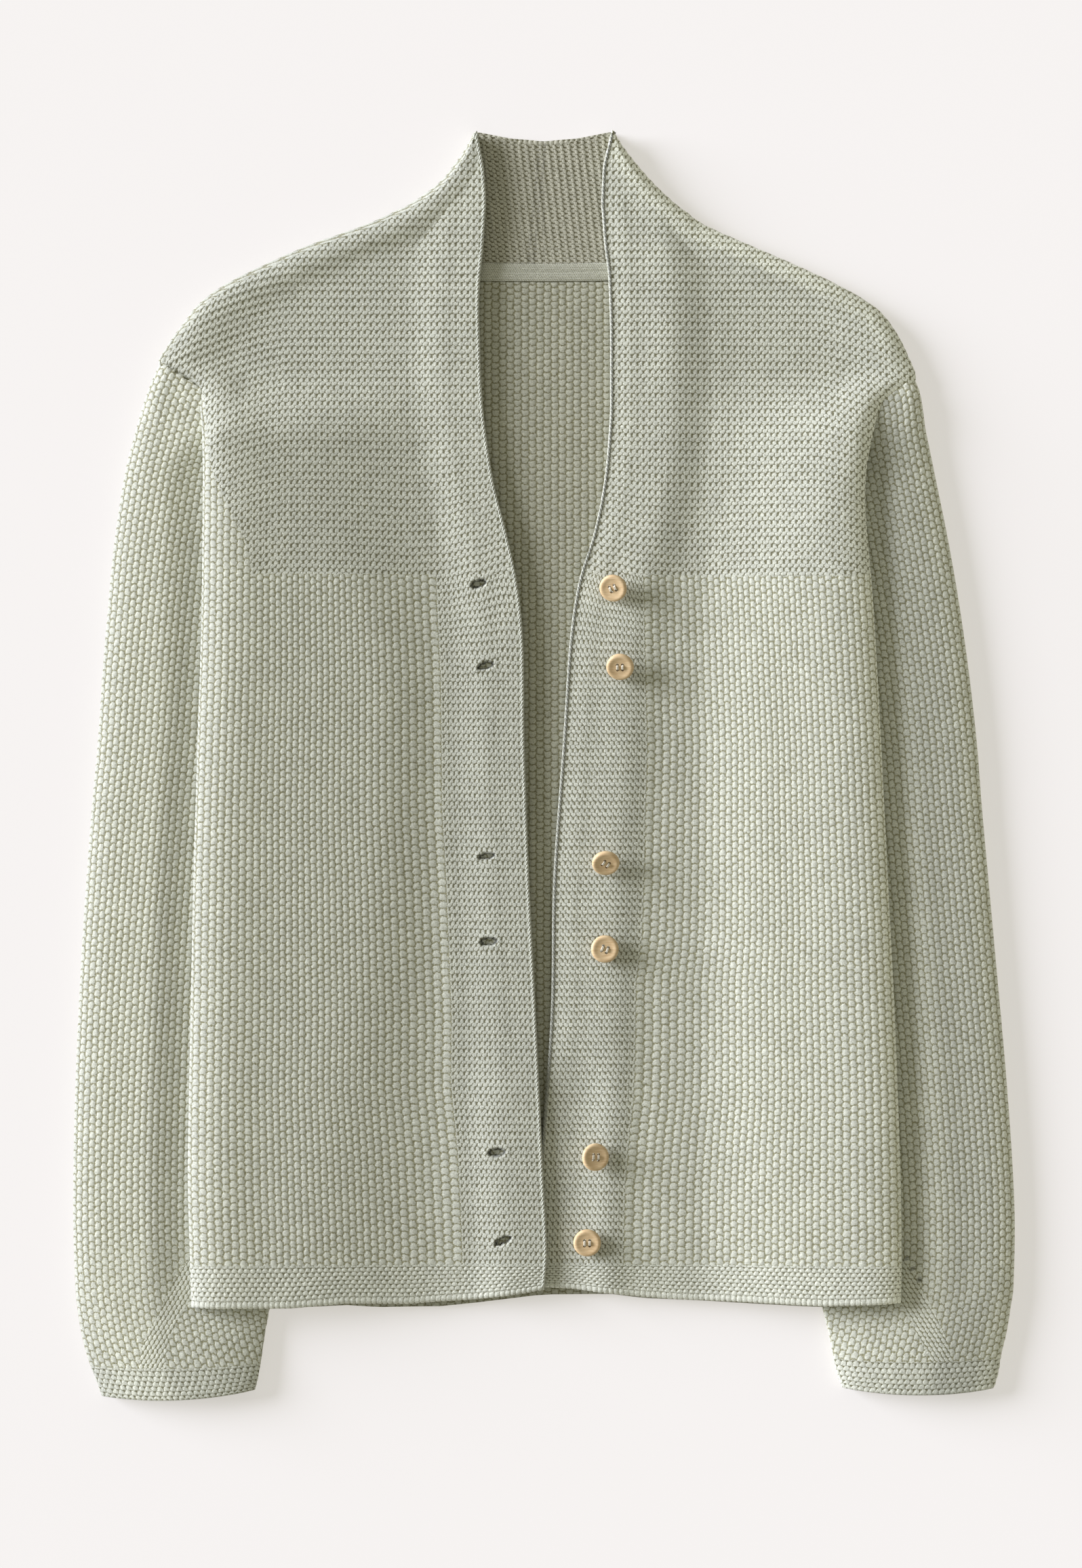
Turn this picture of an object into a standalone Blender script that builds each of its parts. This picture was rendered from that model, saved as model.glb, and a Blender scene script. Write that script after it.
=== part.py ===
"""A chunky knitted button cardigan, laid flat on its back with the fronts a little open.

Metres in Blender, +Z up, +Y towards the collar. Right and left are the wearer's, so the
right front is at -X. The origin is the middle of the garment on the surface it lies on.
The tables and sizes below are in millimetres.
"""

import math
from collections import namedtuple

import bmesh
import bpy
import numpy as np
from mathutils import Matrix

MM = 0.001
COLLECTION = "button_cardigan"
CUTTERS = "button_cardigan_cutters"

# ---- driving dimensions -----------------------------------------------------------------
WALL = 3.5              # garter and moss stitch in thick cotton
SEAM_GAP = 0.4          # between two pieces that are sewn together
REST_AIR = 1.0          # between a front and the back where they lie on each other
FOLD_AIR = 3.6          # inside a fold, where thick cloth will not crease flat
FOLD_REACH = 24.0       # how far from a fold the two layers close up again
SEAM_ANGLE = -40.0      # degrees round a fold, from its outermost line, where it is sewn

SLEEVE_FLAT = 7.7       # a sleeve pressed flat under the body
SLEEVE_CLEAR = 0.5      # from there up to the back panel
PRESS_RUN = 24.0        # over which it gets flatter next to the body
UNDER_ROLL = 8.0        # edge radius of a sleeve's lower wall
ROLL_KEPT = 0.4         # least inner radius of a fold, in parts of its outer one
FOLD_SHARE = 0.42       # a fold's widest radius, in parts of the width it folds
SLEEVE_FOLD_SHARE = 0.49

LIFT_TOP_Y = 221.5      # above this the body lies on the surface, beside the sleeve heads
LIFT_RUN = 40.0         # below it, the stretch over which the sleeves come in under it
FOOT_RIGHT = 60.0       # where the body starts to climb over a sleeve, from the middle
FOOT_LEFT = 88.0

OVERLAP_TOP_Y = -150.0  # below this the right front lies over the left one
OVERLAP_RUN = 40.0
OVERLAP_WIDTH = 14.0    # of the lifted band edge, before it comes down again
OVERLAP_REACH = 46.0

NECK_X = 38.8           # half width of the back neck seam's straight part
NECK_Y = 276.6
SHOULDER_NECK_X = 76.4  # where the collar folds over the shoulder
SHOULDER_NECK_Y = 313.0
WING_GAP = 1.8          # between the collar's foot and the back, out at the shoulder
COLLAR_TOP = ((0.0, 350.6), (19.0, 352.2), (36.6, 355.6))   # (x, y) of its free edge

TAPE_WIDTH = 10.0
TAPE_THICK = 1.0
TAPE_HALF_LENGTH = 43.0
TAPE_BOW = 0.0004       # how it bows up to both ends, for each squared mm

BUTTON_RADIUS = 7.75
BUTTON_THICK = 3.6
BUTTON_SHANK = 0.9      # of thread between a button and its band
BUTTON_ROOM = 0.08      # more of it for the button's width, in parts of its radius
BUTTON_STEPS = 24
HOLE_RADIUS = 0.9
HOLE_SPACING = 1.75     # half the distance between two holes
HOLE_SIDES = 6

BUTTONHOLE_DEPTH = 30.0
BUTTONHOLE_SIDES = 12
SHARP_ANGLE = 50.0

# ---- the panels ------------------------------------------------------------------------
# One row across a front, from the fold at its side or shoulder to its free front edge.
# roll is the radius of the fold, seen from above.
Row = namedtuple("Row", "side_x side_y edge_x edge_y roll")

FRONT_RIGHT = [
    Row(-197.2, -304.0, 0.4, -294.5, 16.0),
    Row(-198.0, -274.4, 1.9, -270.6, 16.0),
    Row(-199.1, -225.0, -0.4, -225.0, 16.0),
    Row(-197.6, -141.4, -4.2, -141.4, 16.0),
    Row(-196.1, -65.4, -8.0, -65.4, 16.0),
    Row(-193.8, 10.6, -10.6, 10.6, 16.0),
    Row(-191.9, 67.6, -11.4, 67.6, 16.0),
    Row(-191.1, 105.6, -14.8, 101.8, 16.0),
    Row(-190.8, 143.6, -20.9, 130.3, 15.0),
    Row(-190.8, 170.2, -28.1, 158.8, 13.0),
    Row(-191.9, 193.0, -33.1, 192.3, 9.0),
    Row(-196.5, 210.9, -35.0, 215.8, 6.0),
    Row(-213.6, 223.4, -35.6, 235.0, 6.0),
    Row(-209.0, 235.6, -35.9, 244.5, 8.0),
    Row(-200.6, 246.2, -36.1, 253.0, 9.0),
    Row(-190.8, 258.8, -36.1, 261.5, 9.0),
    Row(-175.6, 269.8, -35.8, 269.0, 9.0),
    Row(-155.0, 280.8, -35.2, 276.8, 9.0),
    Row(-130.0, 292.2, -34.0, 288.0, 9.0),
    Row(-100.7, 303.2, -33.2, 299.0, 9.0),
    Row(-83.9, 310.8, -32.7, 308.0, 8.5),
    Row(-75.4, 315.0, -32.3, 314.4, 8.0),
    Row(-60.0, 326.0, -32.7, 325.3, 7.0),
    Row(-50.2, 337.4, -33.8, 336.3, 5.5),
    Row(-43.4, 347.2, -35.7, 346.9, 3.4),
    Row(-39.6, 354.2, -37.4, 355.6, 1.0),
]
FRONT_LEFT = [
    Row(199.9, -301.3, -5.0, -293.2, 16.0),
    Row(200.3, -274.4, -4.6, -270.6, 16.0),
    Row(199.5, -225.0, -2.3, -225.0, 16.0),
    Row(196.5, -141.4, 3.8, -141.4, 16.0),
    Row(192.7, -65.4, 5.3, -65.4, 16.0),
    Row(188.9, 10.6, 10.6, 10.6, 16.0),
    Row(185.8, 67.6, 14.4, 67.6, 16.0),
    Row(183.2, 105.6, 19.4, 101.8, 16.0),
    Row(180.1, 143.6, 28.1, 130.3, 15.0),
    Row(180.9, 166.4, 33.8, 158.8, 13.0),
    Row(185.6, 190.0, 36.9, 192.3, 9.0),
    Row(191.0, 202.6, 37.2, 215.8, 6.0),
    Row(209.4, 215.0, 37.2, 235.0, 6.0),
    Row(204.4, 230.3, 37.2, 244.5, 8.0),
    Row(196.1, 245.5, 37.0, 253.0, 9.0),
    Row(186.2, 256.9, 36.7, 261.5, 9.0),
    Row(167.6, 268.3, 36.4, 269.0, 9.0),
    Row(142.9, 280.1, 35.9, 276.8, 9.0),
    Row(115.9, 291.8, 34.4, 288.0, 9.0),
    Row(90.4, 303.2, 33.4, 299.0, 9.0),
    Row(80.3, 310.4, 32.8, 308.0, 8.5),
    Row(74.1, 315.0, 32.3, 314.4, 8.0),
    Row(62.3, 326.0, 32.7, 325.3, 7.0),
    Row(52.2, 337.4, 33.4, 336.3, 5.5),
    Row(44.6, 347.2, 35.9, 346.9, 3.4),
    Row(40.2, 354.2, 38.2, 356.3, 1.0),
]
NECK_ROW = 17           # the row where the back neck seam crosses between the fronts
LAST_WING_ROW = 20      # the back's last row, beside the neck; the collar starts after it
MAX_ROW_STEP = 40.0

# Hems, as (x, y) of the lower edge.
HEM_RIGHT = ((-197.2, -304.0), (-141.4, -304.0), (-111.0, -301.7), (-76.8, -302.5),
             (-38.8, -300.2), (-19.8, -297.9), (0.4, -294.5))
HEM_LEFT = ((-5.0, -293.2), (18.2, -294.5), (29.6, -296.0), (56.2, -298.7), (75.2, -300.2),
            (113.2, -301.3), (156.9, -302.9), (199.9, -301.3))
HEM_BACK = ((-197.2, -304.0), (-141.4, -304.0), (-111.0, -302.9), (-92.0, -304.4),
            (-57.8, -304.4), (-38.8, -302.5), (-0.8, -297.9), (37.2, -297.5),
            (56.2, -299.8), (113.2, -302.1), (156.9, -303.6), (199.9, -301.3))

# Loose room along a front's free edge, as (distance from the edge, air above REST_AIR).
EDGE_AIR_RIGHT = ((0.0, 2.4), (18.0, 1.9), (42.0, 0.0))
EDGE_AIR_LEFT = ((0.0, 0.9), (14.0, 1.8), (34.0, 2.6), (60.0, 0.3), (72.0, 0.0))
FAR_FROM_FOLD = 400.0
OVERLAP_AIR = 4.4       # under the right front's edge where it lies over the left front
OVERLAP_AIR_LEFT = 0.4  # under the left front's edge there

# ---- the sleeves -------------------------------------------------------------------------
# One section across a sleeve, from its free outer fold to its inner one. rolls are the
# radii of the upper wall at the two folds, highs their heights. pressed_x is where the
# body's side comes down on it.
Cut = namedtuple("Cut", "outer_x outer_y inner_x inner_y outer_roll inner_roll "
                        "outer_high inner_high pressed_x")

SLEEVE_RIGHT = [
    Cut(-214.9, 222.2, -197.3, 210.6, 8.0, 5.0, 10.6, 10.6, 150.0),
    Cut(-220.4, 209.4, -194.9, 202.4, 10.0, 6.0, 10.6, 10.6, 150.0),
    Cut(-225.3, 198.0, -191.2, 191.0, 12.0, 8.0, 10.5, 9.6, 170.0),
    Cut(-229.9, 181.6, -188.5, 174.8, 15.0, 8.0, 10.4, 7.7, 191.0),
    Cut(-235.2, 162.6, -171.8, 156.9, 16.0, 8.0, 10.4, 7.7, 191.0),
    Cut(-240.9, 124.6, -126.2, 120.1, 18.0, 8.0, 10.4, 7.7, 191.0),
    Cut(-244.7, 86.6, -105.3, 84.7, 18.0, 8.0, 10.4, 7.7, 191.5),
    Cut(-247.8, 48.6, -95.0, 48.6, 18.0, 8.0, 10.4, 7.7, 192.6),
    Cut(-249.7, 10.6, -94.2, 10.6, 18.0, 8.0, 10.4, 7.7, 193.8),
    Cut(-252.3, -27.4, -96.5, -27.4, 18.0, 8.0, 10.4, 7.7, 195.0),
    Cut(-258.0, -103.4, -104.1, -103.4, 18.0, 8.0, 10.4, 7.7, 196.8),
    Cut(-262.2, -179.4, -120.1, -179.4, 18.0, 8.0, 10.4, 7.7, 198.3),
    Cut(-264.5, -245.9, -137.6, -245.9, 18.0, 8.0, 10.4, 7.7, 199.0),
    Cut(-263.4, -290.0, -151.0, -290.0, 20.0, 8.0, 10.4, 7.7, 198.0),
    Cut(-262.0, -306.0, -154.0, -306.0, 24.0, 10.0, 10.4, 7.7, 190.0),
    Cut(-259.4, -322.0, -156.4, -319.0, 32.0, 26.0, 10.6, 9.4, 170.0),
    Cut(-255.6, -336.0, -158.6, -334.5, 40.0, 36.0, 10.6, 10.6, 150.0),
    Cut(-251.6, -346.6, -160.4, -345.0, 43.0, 40.0, 10.6, 10.6, 150.0),
    Cut(-248.5, -356.0, -162.2, -352.6, 42.0, 41.0, 10.4, 10.4, 150.0),
]
SLEEVE_LEFT = [
    Cut(210.4, 213.6, 191.8, 202.1, 8.0, 5.0, 10.6, 10.6, 150.0),
    Cut(212.2, 203.4, 189.4, 195.0, 10.0, 6.0, 10.6, 10.6, 150.0),
    Cut(213.8, 192.8, 184.8, 186.4, 12.0, 8.0, 10.5, 9.6, 165.0),
    Cut(216.4, 179.5, 178.5, 170.4, 14.0, 8.0, 10.4, 7.7, 181.5),
    Cut(219.9, 162.6, 165.0, 150.4, 16.0, 8.0, 10.4, 7.7, 181.0),
    Cut(227.6, 124.6, 147.0, 118.9, 18.0, 8.0, 10.4, 7.7, 182.5),
    Cut(234.1, 86.6, 136.5, 84.7, 18.0, 8.0, 10.4, 7.7, 184.5),
    Cut(239.4, 48.6, 131.0, 48.6, 18.0, 8.0, 10.4, 7.7, 187.0),
    Cut(243.6, 10.6, 129.0, 10.6, 18.0, 8.0, 10.4, 7.7, 188.9),
    Cut(246.6, -27.4, 129.5, -27.4, 18.0, 8.0, 10.4, 7.7, 190.8),
    Cut(253.5, -103.4, 132.0, -103.4, 18.0, 8.0, 10.4, 7.7, 194.6),
    Cut(260.3, -179.4, 138.0, -179.4, 18.0, 8.0, 10.4, 7.7, 198.0),
    Cut(264.5, -245.9, 146.5, -245.9, 18.0, 8.0, 10.4, 7.7, 199.8),
    Cut(264.2, -290.0, 153.4, -290.0, 20.0, 8.0, 10.4, 7.7, 200.0),
    Cut(262.6, -304.0, 156.2, -304.0, 24.0, 10.0, 10.4, 7.7, 190.0),
    Cut(260.2, -319.0, 159.6, -318.0, 32.0, 26.0, 10.6, 9.4, 170.0),
    Cut(257.2, -332.0, 162.4, -332.0, 40.0, 36.0, 10.6, 10.6, 150.0),
    Cut(255.4, -343.0, 165.0, -344.0, 42.0, 40.0, 10.6, 10.6, 150.0),
    Cut(253.1, -351.6, 167.6, -351.4, 41.0, 40.0, 10.4, 10.4, 150.0),
]

# ---- buttons and buttonholes -------------------------------------------------------------
# tilt leans a button about its own axis in the band, turn is that axis from +X; degrees.
Button = namedtuple("Button", "x y tilt turn")
BUTTONS = [
    Button(39.1, 99.2, 20.0, -30.0),
    Button(42.8, 55.3, 22.0, -10.0),
    Button(34.6, -54.0, 32.0, 2.0),
    Button(34.2, -103.0, 4.0, 0.0),
    Button(28.5, -219.6, 14.0, 90.0),
    Button(24.3, -267.5, 6.0, 0.0),
]
Buttonhole = namedtuple("Buttonhole", "x y length width turn")
BUTTONHOLES = [
    Buttonhole(-36.5, 101.5, 8.2, 3.8, 15.0),
    Buttonhole(-32.5, 55.5, 8.6, 3.6, 16.0),
    Buttonhole(-31.9, -51.3, 8.6, 3.0, 8.0),
    Buttonhole(-30.8, -99.2, 8.8, 3.9, 4.0),
    Buttonhole(-26.2, -217.4, 9.0, 3.9, 4.0),
    Buttonhole(-22.8, -266.8, 9.2, 3.4, 24.0),
]
# A button's section, as (radius, height) in parts of its radius and thickness.
BUTTON_PROFILE = ((0.0, 0.66), (0.50, 0.68), (0.66, 0.94), (0.82, 1.0), (0.95, 0.84),
                  (1.0, 0.52), (0.92, 0.16), (0.66, 0.0), (0.0, 0.0))

FOLD_ANGLES = (-10.0, 20.0, 45.0, 68.0, 90.0)   # after the seam, up to the top of a fold
UNDER_ANGLES = (-90.0, -66.0)                   # under it, before the seam
BAND_COLUMNS = 9        # from a fold to the line of the neck seam
MIDDLE_COLUMNS = 3      # from that line to a front's free edge
BACK_COLUMNS = 4        # across the back between the two neck lines
COLLAR_COLUMNS = 7
SLEEVE_COLUMNS = 5      # across a sleeve's flat stretch


def clamp(value):
    return min(max(value, 0.0), 1.0)


def smooth(value):
    """0 to 1 with level ends."""
    part = clamp(value)
    return part * part * (3.0 - 2.0 * part)


def read(table, value):
    """The second column of a table at a value of its first."""
    xs, ys = zip(*table)
    return float(np.interp(value, xs, ys))


def refine(rows, counts):
    """Put extra rows between those of a table, on a smooth curve through them."""
    points = np.array(rows, dtype=float)
    slopes = np.gradient(points, axis=0)
    out = []
    for index, count in enumerate(counts):
        for step in range(count):
            t = step / count
            start, end = points[index], points[index + 1]
            rise, fall = slopes[index], slopes[index + 1]
            curve = (start * (1 + 2 * t) * (1 - t) ** 2 + end * t * t * (3 - 2 * t)
                     + rise * t * (1 - t) ** 2 + fall * t * t * (t - 1))
            out.append(type(rows[0])(*(curve if count > 1 else start)))
    out.append(rows[-1])
    return out


def row_counts(rows):
    """How many steps each stretch of a front's table is split into."""
    return [max(1, math.ceil(abs(after.side_y - row.side_y) / MAX_ROW_STEP))
            for row, after in zip(rows, rows[1:])]


# The same two rows of the table, counted among the refined ones.
FRONT_COUNTS = row_counts(FRONT_RIGHT)
EXTRA_ROWS = sum(FRONT_COUNTS) - len(FRONT_COUNTS)
NECK_LINE_FIRST = NECK_ROW + EXTRA_ROWS
BACK_LAST = LAST_WING_ROW + EXTRA_ROWS


# ---- heights -----------------------------------------------------------------------------
def lift(x, y):
    """How high the back panel's underside is: it climbs over the sleeve under it."""
    sleeve, foot = (SLEEVE_RIGHT, FOOT_RIGHT) if x < 0 else (SLEEVE_LEFT, FOOT_LEFT)
    ys = [cut.inner_y for cut in reversed(sleeve)]
    inner = float(np.interp(y, ys, [abs(cut.inner_x) for cut in reversed(sleeve)]))
    climb = clamp((abs(x) - foot) / (inner - foot))
    ease = math.sin(0.5 * math.pi * climb) ** 1.3
    under = smooth((LIFT_TOP_Y - y) / LIFT_RUN)
    return (SLEEVE_FLAT + SLEEVE_CLEAR) * ease * under


def air_under(side, from_fold, from_edge, y):
    """The loose room between the back and a front, at a place on one of its rows."""
    fold = (FOLD_AIR - REST_AIR) * math.exp(-(from_fold / FOLD_REACH) ** 2)
    table = EDGE_AIR_RIGHT if side < 0 else EDGE_AIR_LEFT
    air = REST_AIR + max(fold, read(table, from_edge))
    lapped = smooth((OVERLAP_TOP_Y - y) / OVERLAP_RUN)
    goal = OVERLAP_AIR if side < 0 else OVERLAP_AIR_LEFT
    near = smooth((OVERLAP_REACH - from_edge) / (OVERLAP_REACH - OVERLAP_WIDTH))
    return air + (goal - air) * lapped * near


# ---- plan --------------------------------------------------------------------------------
def inward(rows, index):
    """The direction, in plan, from a row's fold into the cloth, square to the fold."""
    before = rows[max(index - 1, 0)]
    after = rows[min(index + 1, len(rows) - 1)]
    run_x, run_y = after.side_x - before.side_x, after.side_y - before.side_y
    length = math.hypot(run_x, run_y)
    across = np.array((run_y, -run_x)) / length
    row = rows[index]
    if across @ np.array((row.edge_x - row.side_x, row.edge_y - row.side_y)) < 0:
        across = -across
    return across


def neck_line(side, index, row):
    """Where a row crosses the line that runs down from the back neck seam's end."""
    if NECK_LINE_FIRST <= index <= BACK_LAST:
        rise = (index - NECK_LINE_FIRST) / (BACK_LAST + 1 - NECK_LINE_FIRST)
        return np.array((side * (NECK_X + rise * (SHOULDER_NECK_X - NECK_X)),
                         NECK_Y + rise * (SHOULDER_NECK_Y - NECK_Y)))
    x = side * NECK_X if index < NECK_LINE_FIRST else 0.5 * (row.side_x + row.edge_x)
    share = (x - row.side_x) / (row.edge_x - row.side_x)
    return np.array((x, row.side_y + share * (row.edge_y - row.side_y)))


class Fold:
    """The cloth's section round a fold: an ellipse, seen along the fold."""

    def __init__(self, rows, index):
        row = rows[index]
        width = math.hypot(row.edge_x - row.side_x, row.edge_y - row.side_y)
        self.line = np.array((row.side_x, row.side_y))
        self.into = inward(rows, index)
        self.roll = min(row.roll, FOLD_SHARE * width)
        self.half = WALL + 0.5 * FOLD_AIR
        self.inner_roll = max(self.roll - WALL, ROLL_KEPT * self.roll)
        self.inner_half = self.half - WALL
        top = self.line + self.into * self.roll
        self.low = lift(*top)

    def point(self, angle, inner=False):
        """A point of the outer or the inner surface, at an angle round the fold."""
        turn = math.radians(angle)
        roll = self.inner_roll if inner else self.roll
        half = self.inner_half if inner else self.half
        plan = self.line + self.into * (self.roll - roll * math.cos(turn))
        return np.array((*plan, self.low + self.half + half * math.sin(turn)))

    def seam_step(self):
        """The angle that leaves SEAM_GAP at the inner surface."""
        turn = math.radians(SEAM_ANGLE)
        pace = math.hypot(self.inner_roll * math.sin(turn), self.inner_half * math.cos(turn))
        return math.degrees(SEAM_GAP / pace)


def band_plan(side, rows, index, fold):
    """Plan points of a row from the top of its fold to the neck line."""
    start = fold.line + fold.into * fold.roll
    end = neck_line(side, index, rows[index])
    return [start + (end - start) * step / BAND_COLUMNS for step in range(1, BAND_COLUMNS + 1)]


def hemmed(plan, hem, index):
    """Move the points of the lowest row onto the hem's own line."""
    if index:
        return plan
    return [np.array((point[0], read(hem, point[0]))) for point in plan]


# ---- solids ------------------------------------------------------------------------------
def material(name, colour, roughness):
    made = bpy.data.materials.new(name)
    made.use_nodes = True
    made.diffuse_color = (*colour, 1.0)
    shader = made.node_tree.nodes["Principled BSDF"]
    shader.inputs["Base Color"].default_value = (*colour, 1.0)
    shader.inputs["Roughness"].default_value = roughness
    shader.inputs["Metallic"].default_value = 0.0
    return made


def add_object(name, mesh, collection, finish):
    made = bpy.data.objects.new(name, mesh)
    collection.objects.link(made)
    if finish:
        mesh.materials.append(finish)
    mesh.shade_smooth()
    mesh.set_sharp_from_angle(angle=math.radians(SHARP_ANGLE))
    return made


def closed_mesh(name, points, faces):
    """A mesh in metres from points in millimetres, its faces turned outwards."""
    shape = bmesh.new()
    verts = [shape.verts.new([c * MM for c in point]) for point in points]
    for face in faces:
        shape.faces.new([verts[corner] for corner in face])
    bmesh.ops.recalc_face_normals(shape, faces=shape.faces)
    mesh = bpy.data.meshes.new(name)
    shape.to_mesh(mesh)
    shape.free()
    return mesh


def cloth(name, outer, inner):
    """A closed wall between two grids of points; None marks a place without cloth."""
    rows, columns = len(outer), len(outer[0])
    points, names = [], {}
    for layer, grid in enumerate((outer, inner)):
        for i in range(rows):
            for j in range(columns):
                if grid[i][j] is not None:
                    names[layer, i, j] = len(points)
                    points.append(grid[i][j])

    def whole(i, j):
        corners = ((i, j), (i, j + 1), (i + 1, j + 1), (i + 1, j))
        return (0 <= i < rows - 1 and 0 <= j < columns - 1
                and all((0, *corner) in names for corner in corners))

    faces = []
    for i in range(rows - 1):
        for j in range(columns - 1):
            if not whole(i, j):
                continue
            a, b, c, d = (i, j), (i, j + 1), (i + 1, j + 1), (i + 1, j)
            for corners in ((a, b, c), (a, c, d)):
                faces.append([names[(0, *corner)] for corner in corners])
                faces.append([names[(1, *corner)] for corner in reversed(corners)])
            sides = (((i - 1, j), a, b), ((i, j + 1), b, c), ((i + 1, j), c, d),
                     ((i, j - 1), d, a))
            for beyond, start, end in sides:
                if not whole(*beyond):
                    faces.append([names[(0, *end)], names[(0, *start)], names[(1, *start)]])
                    faces.append([names[(0, *end)], names[(1, *start)], names[(1, *end)]])
    return closed_mesh(name, points, faces)


def front(name, side, rows, hem):
    """A front: round its fold from the side seam, then across to its free edge."""
    outer, inner = [], []
    for index, row in enumerate(rows):
        fold = Fold(rows, index)
        angles = (SEAM_ANGLE, *FOLD_ANGLES)
        over = [fold.point(angle) for angle in angles]
        under = [fold.point(angle, inner=True) for angle in angles]
        plan = band_plan(side, rows, index, fold)
        end = np.array((row.edge_x, row.edge_y))
        start = plan[-1]
        plan += [start + (end - start) * step / MIDDLE_COLUMNS
                 for step in range(1, MIDDLE_COLUMNS + 1)]
        for point in hemmed(plan, hem, index):
            from_fold = max(np.hypot(*(point - fold.line)) - fold.roll, 0.0)
            air = air_under(side, from_fold, np.hypot(*(point - end)), point[1])
            low = lift(*point) + WALL + air
            over.append(np.array((*point, low + WALL)))
            under.append(np.array((*point, low)))
        outer.append(over)
        inner.append(under)
    return cloth(name, outer, inner)


def back_half(side, rows, index):
    """One half of a row of the back, from its seam to the neck line: lower and upper."""
    fold = Fold(rows, index)
    angles = (SEAM_ANGLE - fold.seam_step(), *reversed(UNDER_ANGLES))
    low = [fold.point(angle) for angle in angles]
    high = [fold.point(angle, inner=True) for angle in angles]
    for point in hemmed(band_plan(side, rows, index, fold), HEM_BACK, index):
        low.append(np.array((*point, lift(*point))))
        high.append(np.array((*point, lift(*point) + WALL)))
    return low, high


def back(name, right_rows, left_rows):
    """The back: one panel from side seam to side seam, with a wing each side of the neck."""
    outer, inner = [], []
    for index in range(BACK_LAST + 1):
        right = back_half(-1, right_rows, index)
        left = back_half(1, left_rows, index)
        halves = []
        for right_points, left_points in zip(right, left):
            start, end = right_points[-1], left_points[-1]
            middle = []
            for step in range(1, BACK_COLUMNS):
                point = start + (end - start) * step / BACK_COLUMNS
                if index == 0:
                    point[1] = read(HEM_BACK, point[0])
                middle.append(point if index <= NECK_LINE_FIRST else None)
            halves.append(right_points + middle + left_points[::-1])
        outer.append(halves[0])
        inner.append(halves[1])
    return cloth(name, outer, inner)


def collar(name, side, rows):
    """Half the back collar: from the fold over the shoulder to the centre back seam."""
    outer, inner = [], []
    first, last = BACK_LAST + 1, len(rows) - 1
    seam_x = side * 0.5 * SEAM_GAP
    seam_low = NECK_Y + SEAM_GAP
    for index in range(first, last + 1):
        part = (index - first) / (last - first)
        fold = Fold(rows, index)
        angles = (SEAM_ANGLE - fold.seam_step(), *reversed(UNDER_ANGLES))
        low = [fold.point(angle) for angle in angles]
        high = [fold.point(angle, inner=True) for angle in angles]
        start = low[-1][:2]
        seam_y = seam_low + part * (COLLAR_TOP[0][1] - seam_low)
        for step in range(1, COLLAR_COLUMNS + 1):
            share = step / COLLAR_COLUMNS
            x = start[0] + share * (seam_x - start[0])
            straight = start[1] + share * (seam_y - start[1])
            slope = clamp((abs(x) - NECK_X) / (SHOULDER_NECK_X - NECK_X))
            foot = seam_low + slope * (SHOULDER_NECK_Y + WING_GAP - NECK_Y)
            top = read(COLLAR_TOP, abs(x))
            bottom_bend = foot - straight
            top_bend = top - (start[1] + share * (COLLAR_TOP[0][1] - start[1]))
            bend = (1 - part) ** 2 * bottom_bend + part ** 3 * top_bend
            plan = (x, straight + bend if share < 1.0 else seam_y)
            low.append(np.array((*plan, 0.0)))
            high.append(np.array((*plan, WALL)))
        outer.append(low)
        inner.append(high)
    return cloth(name, outer, inner)


def sleeve_ring(cut, inset):
    """One closed ring across a sleeve; inset is 0 outside and WALL inside."""
    start = np.array((cut.outer_x, cut.outer_y))
    end = np.array((cut.inner_x, cut.inner_y))
    width = float(np.hypot(*(end - start)))
    across = (end - start) / width

    def edge(roll, high, angles):
        """Offsets from the fold line and heights, round one fold."""
        half = 0.5 * high
        points = []
        for angle in angles:
            turn = math.radians(angle)
            full = (min(roll, SLEEVE_FOLD_SHARE * width) if angle > 0
                    else min(UNDER_ROLL, FOLD_SHARE * width))
            reach = max(full - inset, ROLL_KEPT * full)
            points.append((inset + reach * (1 - math.cos(turn)),
                           half + (half - inset) * math.sin(turn)))
        return points

    up = (-90.0, -45.0, 0.0, 25.0, 48.0, 70.0, 90.0)
    left = edge(cut.outer_roll, cut.outer_high, up)
    right = [(width - offset, height)
             for offset, height in edge(cut.inner_roll, cut.inner_high, reversed(up))]

    def top(offset):
        """Height of the upper wall across the flat stretch."""
        x = abs((start + across * offset)[0])
        press = smooth((x - cut.pressed_x) / PRESS_RUN)
        return cut.inner_high + (cut.outer_high - cut.inner_high) * press - inset

    def between(first, last):
        return [first + (last - first) * step / SLEEVE_COLUMNS
                for step in range(1, SLEEVE_COLUMNS)]

    ring = left
    ring += [(offset, top(offset)) for offset in between(left[-1][0], right[0][0])]
    ring += right
    ring += [(offset, inset) for offset in between(right[-1][0], left[0][0])]
    return [np.array((*(start + across * offset), height)) for offset, height in ring]


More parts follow.
